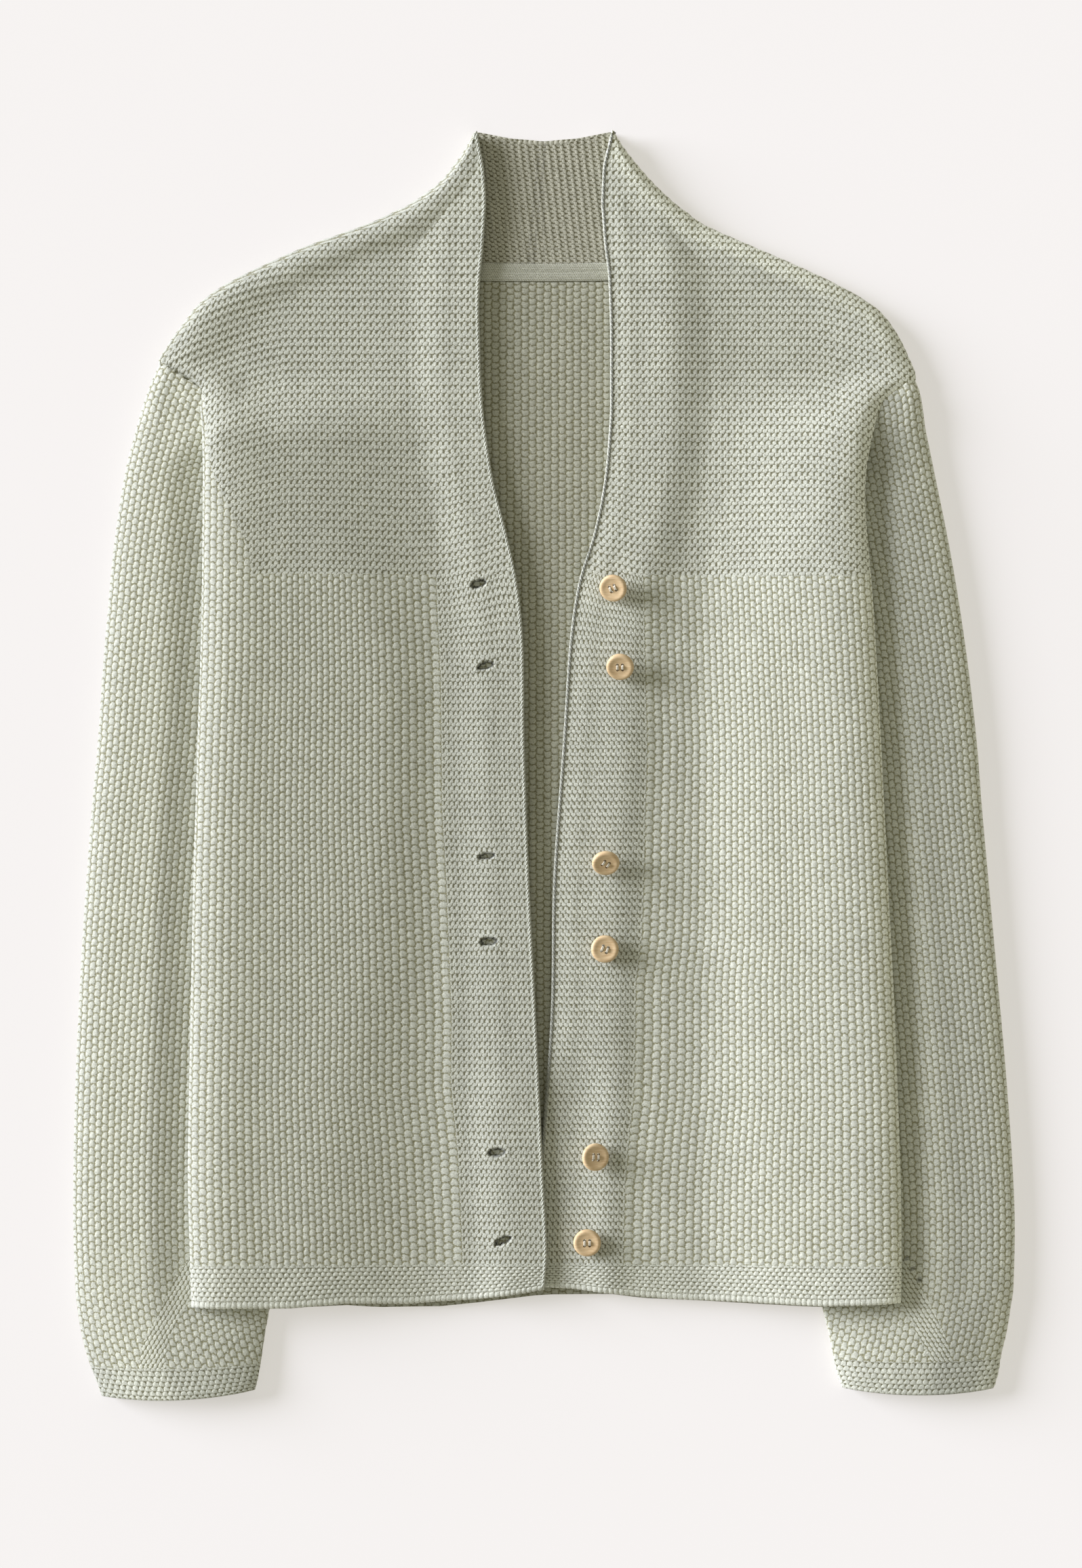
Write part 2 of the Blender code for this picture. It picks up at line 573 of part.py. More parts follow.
def sleeve(name, cuts):
    """A tube from the armhole to the cuff, open at both ends."""
    counts = [max(1, math.ceil(abs(after.outer_y - cut.outer_y) / MAX_ROW_STEP))
              for cut, after in zip(cuts, cuts[1:])]
    stations = refine(cuts, counts)
    outside = [sleeve_ring(cut, 0.0) for cut in stations]
    inside = [sleeve_ring(cut, WALL) for cut in stations]
    size, last = len(outside[0]), len(stations) - 1
    points = [point for rings in (outside, inside) for ring in rings for point in ring]

    def corner(layer, station, step):
        return (layer * (last + 1) + station) * size + step % size

    faces = []
    for step in range(size):
        for station in range(last):
            for layer in (0, 1):
                a, b = corner(layer, station, step), corner(layer, station, step + 1)
                c, d = corner(layer, station + 1, step + 1), corner(layer, station + 1, step)
                faces += [(a, b, c), (a, c, d)]
        for station in (0, last):
            a, b = corner(0, station, step), corner(0, station, step + 1)
            c, d = corner(1, station, step + 1), corner(1, station, step)
            faces += [(a, b, c), (a, c, d)]
    return closed_mesh(name, points, faces)


def neck_tape(name):
    """A narrow tape over the back neck seam, lying on the back and the collar."""
    low, high = [], []
    base = WALL + SEAM_GAP
    for x in np.linspace(-TAPE_HALF_LENGTH, TAPE_HALF_LENGTH, 9):
        centre = NECK_Y + TAPE_BOW * x * x
        low.append([np.array((x, centre + side * 0.5 * TAPE_WIDTH, base)) for side in (-1, 1)])
        high.append([point + np.array((0.0, 0.0, TAPE_THICK)) for point in low[-1]])
    return cloth(name, low, high)


def baked(source):
    """The mesh of an object with its modifiers applied; the object goes."""
    graph = bpy.context.evaluated_depsgraph_get()
    mesh = bpy.data.meshes.new_from_object(source.evaluated_get(graph))
    bpy.data.objects.remove(source)
    return mesh


def cut_away(target, cutters):
    """Boolean cuts, left on the object as modifiers."""
    for cutter in cutters:
        modifier = target.modifiers.new("cut_" + cutter.name, "BOOLEAN")
        modifier.operation = "DIFFERENCE"
        modifier.solver = "EXACT"
        modifier.object = cutter


def prism(name, sides, length, width, depth, matrix, collection):
    """An upright cutter with an oval outline."""
    shape = bmesh.new()
    bmesh.ops.create_cone(shape, cap_ends=True, segments=sides, radius1=0.5, radius2=0.5,
                          depth=1.0)
    bmesh.ops.scale(shape, vec=(length * MM, width * MM, depth * MM), verts=shape.verts)
    mesh = bpy.data.meshes.new(name)
    shape.to_mesh(mesh)
    shape.free()
    cutter = bpy.data.objects.new(name, mesh)
    collection.objects.link(cutter)
    cutter.matrix_world = matrix
    cutter.hide_render = True
    cutter.display_type = "WIRE"
    return cutter


def button_mesh(cutters):
    """A turned button with a raised rim, a shallow dish and four holes."""
    mesh = bpy.data.meshes.new("button_profile")
    points = [(radius * BUTTON_RADIUS * MM, 0.0, height * BUTTON_THICK * MM)
              for radius, height in BUTTON_PROFILE]
    mesh.from_pydata(points, [(i, i + 1) for i in range(len(points) - 1)], [])
    blank = bpy.data.objects.new("button_blank", mesh)
    bpy.context.scene.collection.objects.link(blank)
    screw = blank.modifiers.new("turn", "SCREW")
    screw.steps = screw.render_steps = BUTTON_STEPS
    screw.use_merge_vertices = True
    screw.merge_threshold = 0.00001
    holes = []
    for number in range(4):
        angle = math.radians(45.0 + 90.0 * number)
        reach = HOLE_SPACING * math.sqrt(2.0) * MM
        place = Matrix.Translation((reach * math.cos(angle), reach * math.sin(angle),
                                    0.5 * BUTTON_THICK * MM))
        holes.append(prism(f"button_hole_cutter_{number + 1}", HOLE_SIDES, 2 * HOLE_RADIUS,
                           2 * HOLE_RADIUS, 3 * BUTTON_THICK, place, cutters))
    cut_away(blank, holes)
    return baked(blank)


def front_top(side, rows, x, y):
    """Height of a front's upper side at a place on its band."""
    ys = [row.edge_y for row in rows]
    edge_x = float(np.interp(y, ys, [row.edge_x for row in rows]))
    return lift(x, y) + 2 * WALL + air_under(side, FAR_FROM_FOLD, abs(x - edge_x), y)


def button_matrix(button, rows):
    """A button's place: leaning on the band, clear of it by its thread shank."""
    tilt = math.radians(button.tilt)
    rise = BUTTON_RADIUS * math.sin(tilt) + BUTTON_SHANK
    room = BUTTON_ROOM * BUTTON_RADIUS * math.cos(tilt)
    height = front_top(1, rows, button.x, button.y) + rise + room
    return (Matrix.Translation((button.x * MM, button.y * MM, height * MM))
            @ Matrix.Rotation(math.radians(button.turn), 4, "Z")
            @ Matrix.Rotation(tilt, 4, "X"))


# ---- the whole garment -------------------------------------------------------------------
for thing in list(bpy.data.objects):
    bpy.data.objects.remove(thing)

garment = bpy.data.collections.new(COLLECTION)
cutter_group = bpy.data.collections.new(CUTTERS)
for group in (garment, cutter_group):
    bpy.context.scene.collection.children.link(group)

right_rows = refine(FRONT_RIGHT, FRONT_COUNTS)
left_rows = refine(FRONT_LEFT, FRONT_COUNTS)

SAGE = (0.42, 0.46, 0.36)
SAGE_TAPE = (0.46, 0.49, 0.40)
TAN = (0.70, 0.50, 0.28)

add_object("back", back("back", right_rows, left_rows), garment,
           material("back_knit", SAGE, 0.9))
right_front = add_object("front_right", front("front_right", -1, right_rows, HEM_RIGHT),
                         garment, material("front_right_knit", SAGE, 0.9))
add_object("front_left", front("front_left", 1, left_rows, HEM_LEFT), garment,
           material("front_left_knit", SAGE, 0.9))
add_object("collar_right", collar("collar_right", -1, right_rows), garment,
           material("collar_right_knit", SAGE, 0.9))
add_object("collar_left", collar("collar_left", 1, left_rows), garment,
           material("collar_left_knit", SAGE, 0.9))
add_object("sleeve_right", sleeve("sleeve_right", SLEEVE_RIGHT), garment,
           material("sleeve_right_knit", SAGE, 0.9))
add_object("sleeve_left", sleeve("sleeve_left", SLEEVE_LEFT), garment,
           material("sleeve_left_knit", SAGE, 0.9))
add_object("neck_tape", neck_tape("neck_tape"), garment,
           material("neck_tape_rib", SAGE_TAPE, 0.85))

buttonhole_cutters = []
for number, hole in enumerate(BUTTONHOLES, start=1):
    height = 0.5 * BUTTONHOLE_DEPTH + WALL + REST_AIR
    place = (Matrix.Translation((hole.x * MM, hole.y * MM, height * MM))
             @ Matrix.Rotation(math.radians(hole.turn), 4, "Z"))
    buttonhole_cutters.append(prism(f"buttonhole_cutter_{number}", BUTTONHOLE_SIDES,
                                    hole.length, hole.width, BUTTONHOLE_DEPTH, place,
                                    cutter_group))
cut_away(right_front, buttonhole_cutters)

turned = button_mesh(cutter_group)
for number, button in enumerate(BUTTONS, start=1):
    made = add_object(f"button_{number}", turned.copy(), garment,
                      material(f"button_{number}_wood", TAN, 0.5))
    made.matrix_world = button_matrix(button, left_rows)
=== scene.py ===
"""A chunky knitted button cardigan laid flat: its stitches, buttons, light and camera.

The tables are in millimetres, as in the part's source; everything made is in metres, in the
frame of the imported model: +X to the wearer's left, +Y to the collar, Z up from the surface.
A side is -1 for the wearer's right and 1 for the left.
"""

import math

import bmesh
import bpy
import numpy as np
from mathutils import Matrix


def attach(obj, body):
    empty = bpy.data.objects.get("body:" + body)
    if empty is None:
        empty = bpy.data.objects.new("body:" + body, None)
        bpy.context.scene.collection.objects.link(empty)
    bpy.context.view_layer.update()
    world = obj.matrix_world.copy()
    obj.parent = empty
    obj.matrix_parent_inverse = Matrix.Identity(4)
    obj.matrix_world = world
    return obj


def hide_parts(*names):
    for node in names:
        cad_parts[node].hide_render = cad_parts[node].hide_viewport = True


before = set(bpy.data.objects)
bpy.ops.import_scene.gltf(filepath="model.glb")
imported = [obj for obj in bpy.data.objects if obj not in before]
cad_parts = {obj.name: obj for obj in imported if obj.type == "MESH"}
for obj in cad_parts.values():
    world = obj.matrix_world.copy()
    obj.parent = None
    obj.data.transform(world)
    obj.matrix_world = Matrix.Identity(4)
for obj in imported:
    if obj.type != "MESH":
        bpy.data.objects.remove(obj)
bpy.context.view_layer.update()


MM = 0.001
PX = 0.38                      # millimetres for each pixel of the picture's frame
CENTRE_X, CENTRE_Y = 802.0, 1128.0     # the pixel at the origin
PICTURE_TALL, PICTURE_X, PICTURE_Y = 2313, 798.0, 1156.5     # its height and middle

# ---- the cloth's form, as in the part's source ---------------------------------------------
WALL = 3.5
REST_AIR = 1.0                 # between a front and the back where they lie on each other
FOLD_AIR = 3.6                 # inside a fold
FOLD_REACH = 24.0              # how far from a fold its two layers close up again
FOLD_HALF = WALL + 0.5 * FOLD_AIR
FOLD_SHARE = 0.42              # a fold's widest radius, in parts of the width it folds
SEAM_ANGLE = -40.0             # degrees round a fold, where it is sewn
SEAM_GAP = 0.4                 # between two sewn parts
SLEEVE_LIFT = 8.2              # what the body climbs over a sleeve
UNDER_ROLL = 8.0               # radius at the sides of a sleeve's lower wall
PRESS_RUN = 24.0               # over which a sleeve gets flatter next to the body
LIFT_TOP_Y, LIFT_RUN = 221.5, 40.0     # where the sleeves come in under the body
FOOT = {-1: 60.0, 1: 88.0}     # where the body starts to climb, from the middle
RISE_TOP = {-1: 152.0, 1: 168.0}       # where it has climbed all the way, as it shows
RISE_EARLY = 6.0               # how far before its foot that slow climb starts
RISE_SHARE = 0.6               # of the slow climb in the whole one
OVERLAP_TOP_Y, OVERLAP_RUN = -150.0, 40.0    # below it the right front lies on the left one
OVERLAP_WIDTH, OVERLAP_REACH = 14.0, 46.0    # of the lifted edge, before it comes down again
OVERLAP_AIR = {-1: 4.4, 1: 0.4}        # under each front's edge there
NECK_X, NECK_Y = 38.8, 276.6   # the end of the neck seam's straight part
SHOULDER_NECK = (76.4, 313.0)  # where the collar folds over the shoulder
WING_GAP = 1.8                 # between the collar's foot and the back, at the shoulder
COLLAR_TOP = ((0.0, 350.6), (19.0, 352.2), (36.6, 355.6))    # its free edge, as (x, y)
TAPE_WIDTH, TAPE_THICK, TAPE_HALF_LENGTH = 10.0, 1.0, 43.0
TAPE_BOW, TAPE_SEAM = 0.0004, 0.22     # how its ends curve up; the depth of its stitched line
EDGE_ROLL = 1.75               # radius of a free edge's rim

YOKE_Y = 106.8                 # where the yoke's ridges give way to moss stitch
HEM_Y = -280.6                 # where the hem starts
ROW = 4.211                    # millimetres for two rows of knitting on the body
SLEEVE_PITCH, SLEEVE_BUMP = 3.57, 4.42       # a column and two rows on a sleeve,
BACK_PITCH, BACK_BUMP = 4.18, 3.8            # and inside the back
GARTER_WIDE, GARTER_TALL = 3.40, 4.45        # one stitch and one ridge of the yoke
UNDER_SHADE = 0.9              # of the undersides
MOSS_COLUMNS, BAND_BEANS = 38, 16      # stitches across a front and across its band
FINE = 4                       # mesh columns and rows for each stitch

# (side_x side_y edge_x edge_y roll) across a front, from its fold to its free edge.
FRONT = {-1: np.array((
    (-197.2, -304.0, 0.4, -294.5, 16.0), (-198.0, -274.4, 1.9, -270.6, 16.0),
    (-199.1, -225.0, -0.4, -225.0, 16.0), (-197.6, -141.4, -4.2, -141.4, 16.0),
    (-196.1, -65.4, -8.0, -65.4, 16.0), (-193.8, 10.6, -10.6, 10.6, 16.0),
    (-191.9, 67.6, -11.4, 67.6, 16.0), (-191.1, 105.6, -14.8, 101.8, 16.0),
    (-190.8, 143.6, -20.9, 130.3, 15.0), (-190.8, 170.2, -28.1, 158.8, 13.0),
    (-191.9, 193.0, -33.1, 192.3, 9.0), (-196.5, 210.9, -35.0, 215.8, 6.0),
    (-215.8, 223.4, -35.6, 235.0, 6.0), (-211.2, 235.6, -35.9, 244.5, 8.0),
    (-203.8, 246.2, -36.1, 253.0, 9.0), (-193.8, 258.8, -36.1, 261.5, 9.0),
    (-179.0, 269.8, -35.8, 269.0, 9.0), (-157.2, 280.8, -35.2, 276.8, 9.0),
    (-131.2, 292.2, -34.0, 288.0, 9.0), (-100.7, 303.2, -33.2, 299.0, 9.0),
    (-83.9, 310.8, -32.7, 308.0, 8.5), (-75.4, 315.0, -32.3, 314.4, 8.0),
    (-60.0, 326.0, -32.7, 325.3, 7.0), (-50.2, 337.4, -33.8, 336.3, 5.5),
    (-43.4, 347.2, -35.7, 346.9, 3.4), (-39.6, 354.2, -37.4, 355.6, 1.0))),
    1: np.array((
    (199.9, -301.3, -5.0, -293.2, 16.0), (200.3, -274.4, -4.6, -270.6, 16.0),
    (199.5, -225.0, -2.3, -225.0, 16.0), (196.5, -141.4, 3.8, -141.4, 16.0),
    (192.7, -65.4, 5.3, -65.4, 16.0), (188.9, 10.6, 10.6, 10.6, 16.0),
    (185.8, 67.6, 14.4, 67.6, 16.0), (183.2, 105.6, 19.4, 101.8, 16.0),
    (180.1, 143.6, 28.1, 130.3, 15.0), (180.9, 166.4, 33.8, 158.8, 13.0),
    (185.6, 190.0, 36.9, 192.3, 9.0), (191.0, 202.6, 37.2, 215.8, 6.0),
    (208.4, 214.8, 37.2, 235.0, 6.0), (204.4, 230.3, 37.2, 244.5, 8.0),
    (196.3, 245.5, 37.0, 253.0, 9.0), (186.2, 256.9, 36.7, 261.5, 9.0),
    (167.6, 268.3, 36.4, 269.0, 9.0), (142.9, 280.1, 35.9, 276.8, 9.0),
    (115.9, 291.8, 34.4, 288.0, 9.0), (90.4, 303.2, 33.4, 299.0, 9.0),
    (80.3, 310.4, 32.8, 308.0, 8.5), (74.1, 315.0, 32.3, 314.4, 8.0),
    (62.3, 326.0, 32.7, 325.3, 7.0), (52.2, 337.4, 33.4, 336.3, 5.5),
    (44.6, 347.2, 35.9, 346.9, 3.4), (40.2, 354.2, 38.2, 356.3, 1.0)))}
YOKE_FIRST_ROW = 8             # rows of these tables: the yoke's first one,
NECK_ROW = 17                  # the one at the neck seam's ends
LAST_WING_ROW = 20             # and the last one under the collar

# The hems' own lines, as (x, y).
HEM = {-1: ((-197.2, -304.0), (-141.4, -304.0), (-111.0, -301.7), (-76.8, -302.5),
            (-38.8, -300.2), (-19.8, -297.9), (0.4, -294.5)),
       1: ((-5.0, -293.2), (18.2, -294.5), (29.6, -296.0), (56.2, -298.7), (75.2, -300.2),
           (113.2, -301.3), (156.9, -302.9), (199.9, -301.3))}
HEM_BACK = ((-197.2, -304.0), (-141.4, -304.0), (-111.0, -302.9), (-92.0, -304.4),
            (-57.8, -304.4), (-38.8, -302.5), (-0.8, -297.9), (37.2, -297.5),
            (56.2, -299.8), (113.2, -302.1), (156.9, -303.6), (199.9, -301.3))
# How far a front stands off the back, by the distance from its free edge.
EDGE_AIR = {-1: ((0.0, 2.4), (18.0, 1.9), (42.0, 0.0)),
            1: ((0.0, 0.9), (14.0, 1.8), (34.0, 2.6), (60.0, 0.3), (72.0, 0.0))}
# Where the moss stitch ends and the band begins, as (y, x).
BAND_X = {-1: ((-304.0, -45.0), (-278.9, -45.6), (-255.4, -46.4), (-217.4, -48.3),
               (-179.4, -52.1), (-141.4, -51.7), (-103.4, -53.2), (-65.4, -54.7),
               (-27.4, -57.0), (48.6, -57.8), (86.6, -59.7), (106.8, -60.4), (400.0, -60.4)),
          1: ((-304.0, 44.0), (-275.1, 44.8), (-236.4, 45.6), (-209.8, 47.9), (-187.0, 50.5),
              (-160.4, 51.3), (-122.4, 51.7), (-95.8, 55.1), (-65.4, 56.2), (-27.4, 57.0),
              (10.6, 58.1), (48.6, 57.0), (94.2, 56.2), (106.8, 55.6), (400.0, 55.6))}

# (outer_x outer_y inner_x inner_y outer_roll inner_roll outer_high inner_high pressed_x)
SLEEVE = {-1: np.array((
    (-215.4, 225.5, -191.0, 212.0, 8.0, 5.0, 9.4, 9.4, 150.0),
    (-217.9, 221.0, -189.5, 205.0, 8.0, 5.0, 10.5, 10.5, 150.0),
    (-222.6, 209.4, -187.5, 195.0, 10.0, 6.0, 11.0, 11.0, 150.0),
    (-226.4, 198.0, -186.5, 184.0, 12.0, 8.0, 10.9, 10.4, 168.0),
    (-231.0, 181.6, -184.0, 170.0, 15.0, 8.0, 10.6, 8.6, 184.0),
    (-235.6, 162.6, -171.8, 156.9, 16.0, 8.0, 10.4, 7.7, 191.0),
    (-241.4, 124.6, -126.2, 120.1, 18.0, 8.0, 10.4, 7.7, 191.0),
    (-245.1, 86.6, -105.3, 84.7, 18.0, 8.0, 10.4, 7.7, 191.5),
    (-248.2, 48.6, -95.0, 48.6, 18.0, 8.0, 10.4, 7.7, 192.6),
    (-250.8, 10.6, -94.2, 10.6, 18.0, 8.0, 10.4, 7.7, 193.8),
    (-254.3, -27.4, -96.5, -27.4, 18.0, 8.0, 10.4, 7.7, 195.0),
    (-259.6, -103.4, -104.1, -103.4, 18.0, 8.0, 10.4, 7.7, 196.8),
    (-263.2, -179.4, -120.1, -179.4, 18.0, 8.0, 10.4, 7.7, 198.3),
    (-264.5, -245.9, -137.6, -245.9, 18.0, 8.0, 10.4, 7.7, 199.0),
    (-263.4, -290.0, -151.0, -290.0, 20.0, 8.0, 10.4, 7.7, 198.0),
    (-262.0, -306.0, -154.0, -306.0, 24.0, 10.0, 10.4, 7.7, 190.0),
    (-259.4, -322.0, -156.4, -319.0, 32.0, 26.0, 10.6, 9.4, 170.0),
    (-255.6, -336.0, -158.6, -334.5, 40.0, 36.0, 10.6, 10.6, 150.0),
    (-251.6, -346.6, -160.4, -345.0, 43.0, 40.0, 10.6, 10.6, 150.0),
    (-248.5, -356.0, -162.2, -352.6, 42.0, 41.0, 10.4, 10.4, 150.0))),
    1: np.array((
    (208.2, 217.0, 187.0, 203.0, 8.0, 5.0, 9.4, 9.4, 150.0),
    (211.2, 209.5, 184.5, 194.0, 8.0, 6.0, 10.6, 10.6, 150.0),
    (213.3, 198.0, 182.0, 186.0, 11.0, 7.0, 11.0, 11.0, 150.0),
    (214.3, 190.0, 180.0, 178.0, 12.0, 8.0, 10.8, 10.2, 160.0),
    (216.4, 179.5, 177.0, 168.0, 14.0, 8.0, 10.5, 8.6, 174.0),
    (219.9, 162.6, 165.0, 150.4, 16.0, 8.0, 10.4, 7.7, 181.0),
    (227.6, 124.6, 147.0, 118.9, 18.0, 8.0, 10.4, 7.7, 182.5),
    (234.1, 86.6, 136.5, 84.7, 18.0, 8.0, 10.4, 7.7, 184.5),
    (239.4, 48.6, 131.0, 48.6, 18.0, 8.0, 10.4, 7.7, 187.0),
    (243.6, 10.6, 129.0, 10.6, 18.0, 8.0, 10.4, 7.7, 188.9),
    (246.6, -27.4, 129.5, -27.4, 18.0, 8.0, 10.4, 7.7, 190.8),
    (253.5, -103.4, 132.0, -103.4, 18.0, 8.0, 10.4, 7.7, 194.6),
    (260.3, -179.4, 138.0, -179.4, 18.0, 8.0, 10.4, 7.7, 198.0),
    (264.5, -245.9, 146.5, -245.9, 18.0, 8.0, 10.4, 7.7, 199.8),
    (264.2, -290.0, 153.4, -290.0, 20.0, 8.0, 10.4, 7.7, 200.0),
    (262.6, -304.0, 156.2, -304.0, 24.0, 10.0, 10.4, 7.7, 190.0),
    (260.2, -319.0, 159.6, -318.0, 32.0, 26.0, 10.6, 9.4, 170.0),
    (257.2, -332.0, 162.4, -332.0, 40.0, 36.0, 10.6, 10.6, 150.0),
    (255.4, -343.0, 165.0, -344.0, 42.0, 40.0, 10.6, 10.6, 150.0),
    (253.1, -351.6, 167.6, -351.4, 41.0, 40.0, 10.4, 10.4, 150.0)))}

# (x y tilt turn) of the buttons, (x y length width turn) of the buttonholes; degrees.
BUTTONS = ((39.1, 99.2, 20.0, -30.0), (42.8, 55.3, 22.0, -10.0), (34.6, -54.0, 32.0, 2.0),
           (34.2, -103.0, 4.0, 0.0), (28.5, -219.6, 14.0, 90.0), (24.3, -267.5, 6.0, 0.0))
THREAD_TURNS = (112.0, 92.0, 60.0, 70.0, 88.0, 90.0)         # how the bars of thread lie
BUTTONHOLES = ((-36.5, 101.5, 8.2, 3.8, 15.0), (-32.5, 55.5, 8.6, 3.6, 16.0),
               (-31.9, -51.3, 8.6, 3.0, 8.0), (-30.8, -99.2, 8.8, 3.9, 4.0),
               (-26.2, -217.4, 9.0, 3.9, 4.0), (-22.8, -266.8, 9.2, 3.4, 24.0))
BUTTON_RADIUS, BUTTON_THICK, BUTTON_SHANK = 7.75, 3.6, 0.9
BUTTON_ROOM = 0.08             # more height for a flat button, in parts of its radius
HOLE_RADIUS, HOLE_SPACING, BAR_HALF = 0.9, 1.45, 1.3

# Stockinette wedges above the cuffs: their two long sides, from the cuff up, in pixels.
WEDGE = {-1: (((203, 2016), (205, 1990), (215, 1970), (232, 1935), (250, 1895), (276, 1850)),
              ((243, 2018), (243, 2000), (250, 1970), (262, 1945), (283, 1908), (309, 1866))),
         1: (((1408, 2008), (1403, 1990), (1392, 1960), (1375, 1925), (1355, 1885),
              (1330, 1846)),
             ((1375, 2010), (1370, 1998), (1357, 1970), (1345, 1948), (1330, 1922),
              (1304, 1880)))}
# Small holes of the knitting where the left sleeve was widened, in pixels; they are painted as dark
# spots of shade.
FASHIONED = {-1: (), 1: ((1338, 1857), (1346, 1872), (1357, 1888))}
CUFF_TOP_Y = -297.4            # where a sleeve's lower edge starts to bow
CUFF_BAND = 18.5               # millimetres of garter stitch at the cuff


# ---- numbers ------------------------------------------------------------------------------
def smooth(value):
    part = np.clip(value, 0.0, 1.0)
    return part * part * (3.0 - 2.0 * part)


def read(table, value):
    xs, ys = zip(*table)
    return np.interp(value, xs, ys)


def eased(table, value):
    """As read, with no corner at the table's own places."""
    xs, ys = (np.array(column) for column in zip(*table))
    value = np.clip(value, xs[0], xs[-1])
    first = np.clip(np.searchsorted(xs, value, side="right") - 1, 0, len(xs) - 2)
    part = smooth((value - xs[first]) / (xs[first + 1] - xs[first]))
    return ys[first] + (ys[first + 1] - ys[first]) * part


def through(table, places):
    """Rows of a table at fractional row numbers, on a smooth curve through them."""
    places = np.asarray(places, float)
    slopes = np.gradient(table, axis=0)
    first = np.clip(np.floor(places).astype(int), 0, len(table) - 2)
    t = (places - first)[:, None]
    start, end = table[first], table[first + 1]
    return (start * (1 + 2 * t) * (1 - t) ** 2 + end * t * t * (3 - 2 * t)
            + slopes[first] * t * (1 - t) ** 2 + slopes[first + 1] * t * t * (t - 1))


def rows_where(table, column, values):
    """Rows of a table where one of its columns has these values."""
    places = np.linspace(0, len(table) - 1, 60 * len(table))
    line = through(table, places)[:, column]
    order = np.argsort(line)
    return through(table, np.interp(values, line[order], places[order]))


def spread(weights, steps):
    """Places from 0 to 1 that split a length in parts of these weights, each in steps."""
    ends = np.concatenate(([0.0], np.cumsum(weights)))
    places = np.arange(len(weights) * steps + 1) / steps
    return np.interp(places, np.arange(len(ends)), ends) / ends[-1]


def travel(points):
    """How far along a path each of its points is."""
    steps = np.linalg.norm(np.diff(points, axis=0), axis=1)
    return np.concatenate(([0.0], np.cumsum(steps)))


def unit(vectors):
    return vectors / np.linalg.norm(vectors, axis=-1, keepdims=True)


# ---- heights ------------------------------------------------------------------------------
def lift(x, y):
    """How high the back panel's underside is: it climbs over the sleeve under it."""
    x, y = np.asarray(x, float), np.asarray(y, float)
    height = np.zeros(np.broadcast(x, y).shape)
    for side in (-1, 1):
        table = SLEEVE[side][::-1]
        inner = np.interp(y, table[:, 3], np.abs(table[:, 2]))
        climb = np.clip((side * x - FOOT[side]) / (inner - FOOT[side]), 0.0, 1.0)
        slow = smooth((side * x - FOOT[side] + RISE_EARLY)
                      / (RISE_TOP[side] - FOOT[side] + RISE_EARLY))
        height += ((1 - RISE_SHARE) * np.sin(0.5 * math.pi * climb) ** 1.3
                   + RISE_SHARE * slow)
    return SLEEVE_LIFT * height * smooth((LIFT_TOP_Y - y) / LIFT_RUN)


def air_under(side, from_fold, from_edge, y):
    fold = (FOLD_AIR - REST_AIR) * np.exp(-(from_fold / FOLD_REACH) ** 2)
    air = REST_AIR + np.maximum(fold, eased(EDGE_AIR[side], from_edge))
    lapped = smooth((OVERLAP_TOP_Y - y) / OVERLAP_RUN)
    beside = smooth((OVERLAP_REACH - from_edge) / (OVERLAP_REACH - OVERLAP_WIDTH))
    return air + (OVERLAP_AIR[side] - air) * lapped * beside


# ---- stitches, both for the mesh and for the materials -------------------------------------
class Field:
    """A value in a material's nodes that takes part in arithmetic."""

    def __init__(self, tree, socket):
        self.tree, self.socket = tree, socket

    def node(self, operation, *others, clamp=False):
        made = self.tree.nodes.new("ShaderNodeMath")
        made.operation, made.use_clamp = operation, clamp
        for slot, value in zip(made.inputs, (self, *others)):
            feed(self.tree, slot, value)
        return Field(self.tree, made.outputs[0])

    def __add__(self, other):
        return self.node("ADD", other)

    def __sub__(self, other):
        return self.node("SUBTRACT", other)

    def __mul__(self, other):
        return self.node("MULTIPLY", other)

    def __rsub__(self, other):
        return (self * -1.0) + other

    __radd__, __rmul__ = __add__, __mul__


def either(value, operation, plain, *others):
    """The same sum for a field of a material and for numbers."""
    return value.node(operation, *others) if isinstance(value, Field) else plain(value, *others)


def fract(value):
    return either(value, "FRACT", lambda number: number % 1.0)


def size_of(value):
    return either(value, "ABSOLUTE", np.abs)


def power(value, exponent):
    return either(value, "POWER", lambda number, above: number ** above, exponent)


def larger(one, other):
    return either(one, "MAXIMUM", np.maximum, other)


def sine(value):
    return either(value, "SINE", np.sin)


def ramp(value, low, high):
    """0 below low, 1 above high."""
    if isinstance(value, Field):
        part = ((value - low) * (1.0 / (high - low))).node("ADD", 0.0, clamp=True)
        return part * part * (3.0 - part * 2.0)
    return smooth((value - low) / (high - low))


def bean(s, t, period, offset, radius, bend=0.0, power_of=2.3, flare=0.0, arch=0.0):
    """The dome of one loop of yarn on a lattice: 1 at its middle, 0 at its rim."""
    down = (fract(t * (1.0 / period[1]) + offset[1]) - 0.5) * (period[1] / radius[1])
    along = (fract(s * (1.0 / period[0]) + offset[0] + down * (bend / period[0]))
             - 0.5) * (period[0] / radius[0])
    if flare:
        along = along * (down * flare + 1.0)
    if arch:
        down = down - along * along * arch
    return 1.0 - (power(size_of(along), power_of) + power(size_of(down), power_of))


def spot(s, t, period, offset, radius):
    return larger(bean(s, t, period, offset, radius, 0.0, 2.0), 0.0)


def hand(s, t):
    """Stitch places that wander a little, as they do in thick hand-knitted cotton."""
    return (s + sine(t * 2.3 + sine(s * 1.1) * 1.7) * 0.04,
            t + sine(s * 2.9 + sine(t * 1.7) * 1.3) * 0.035)


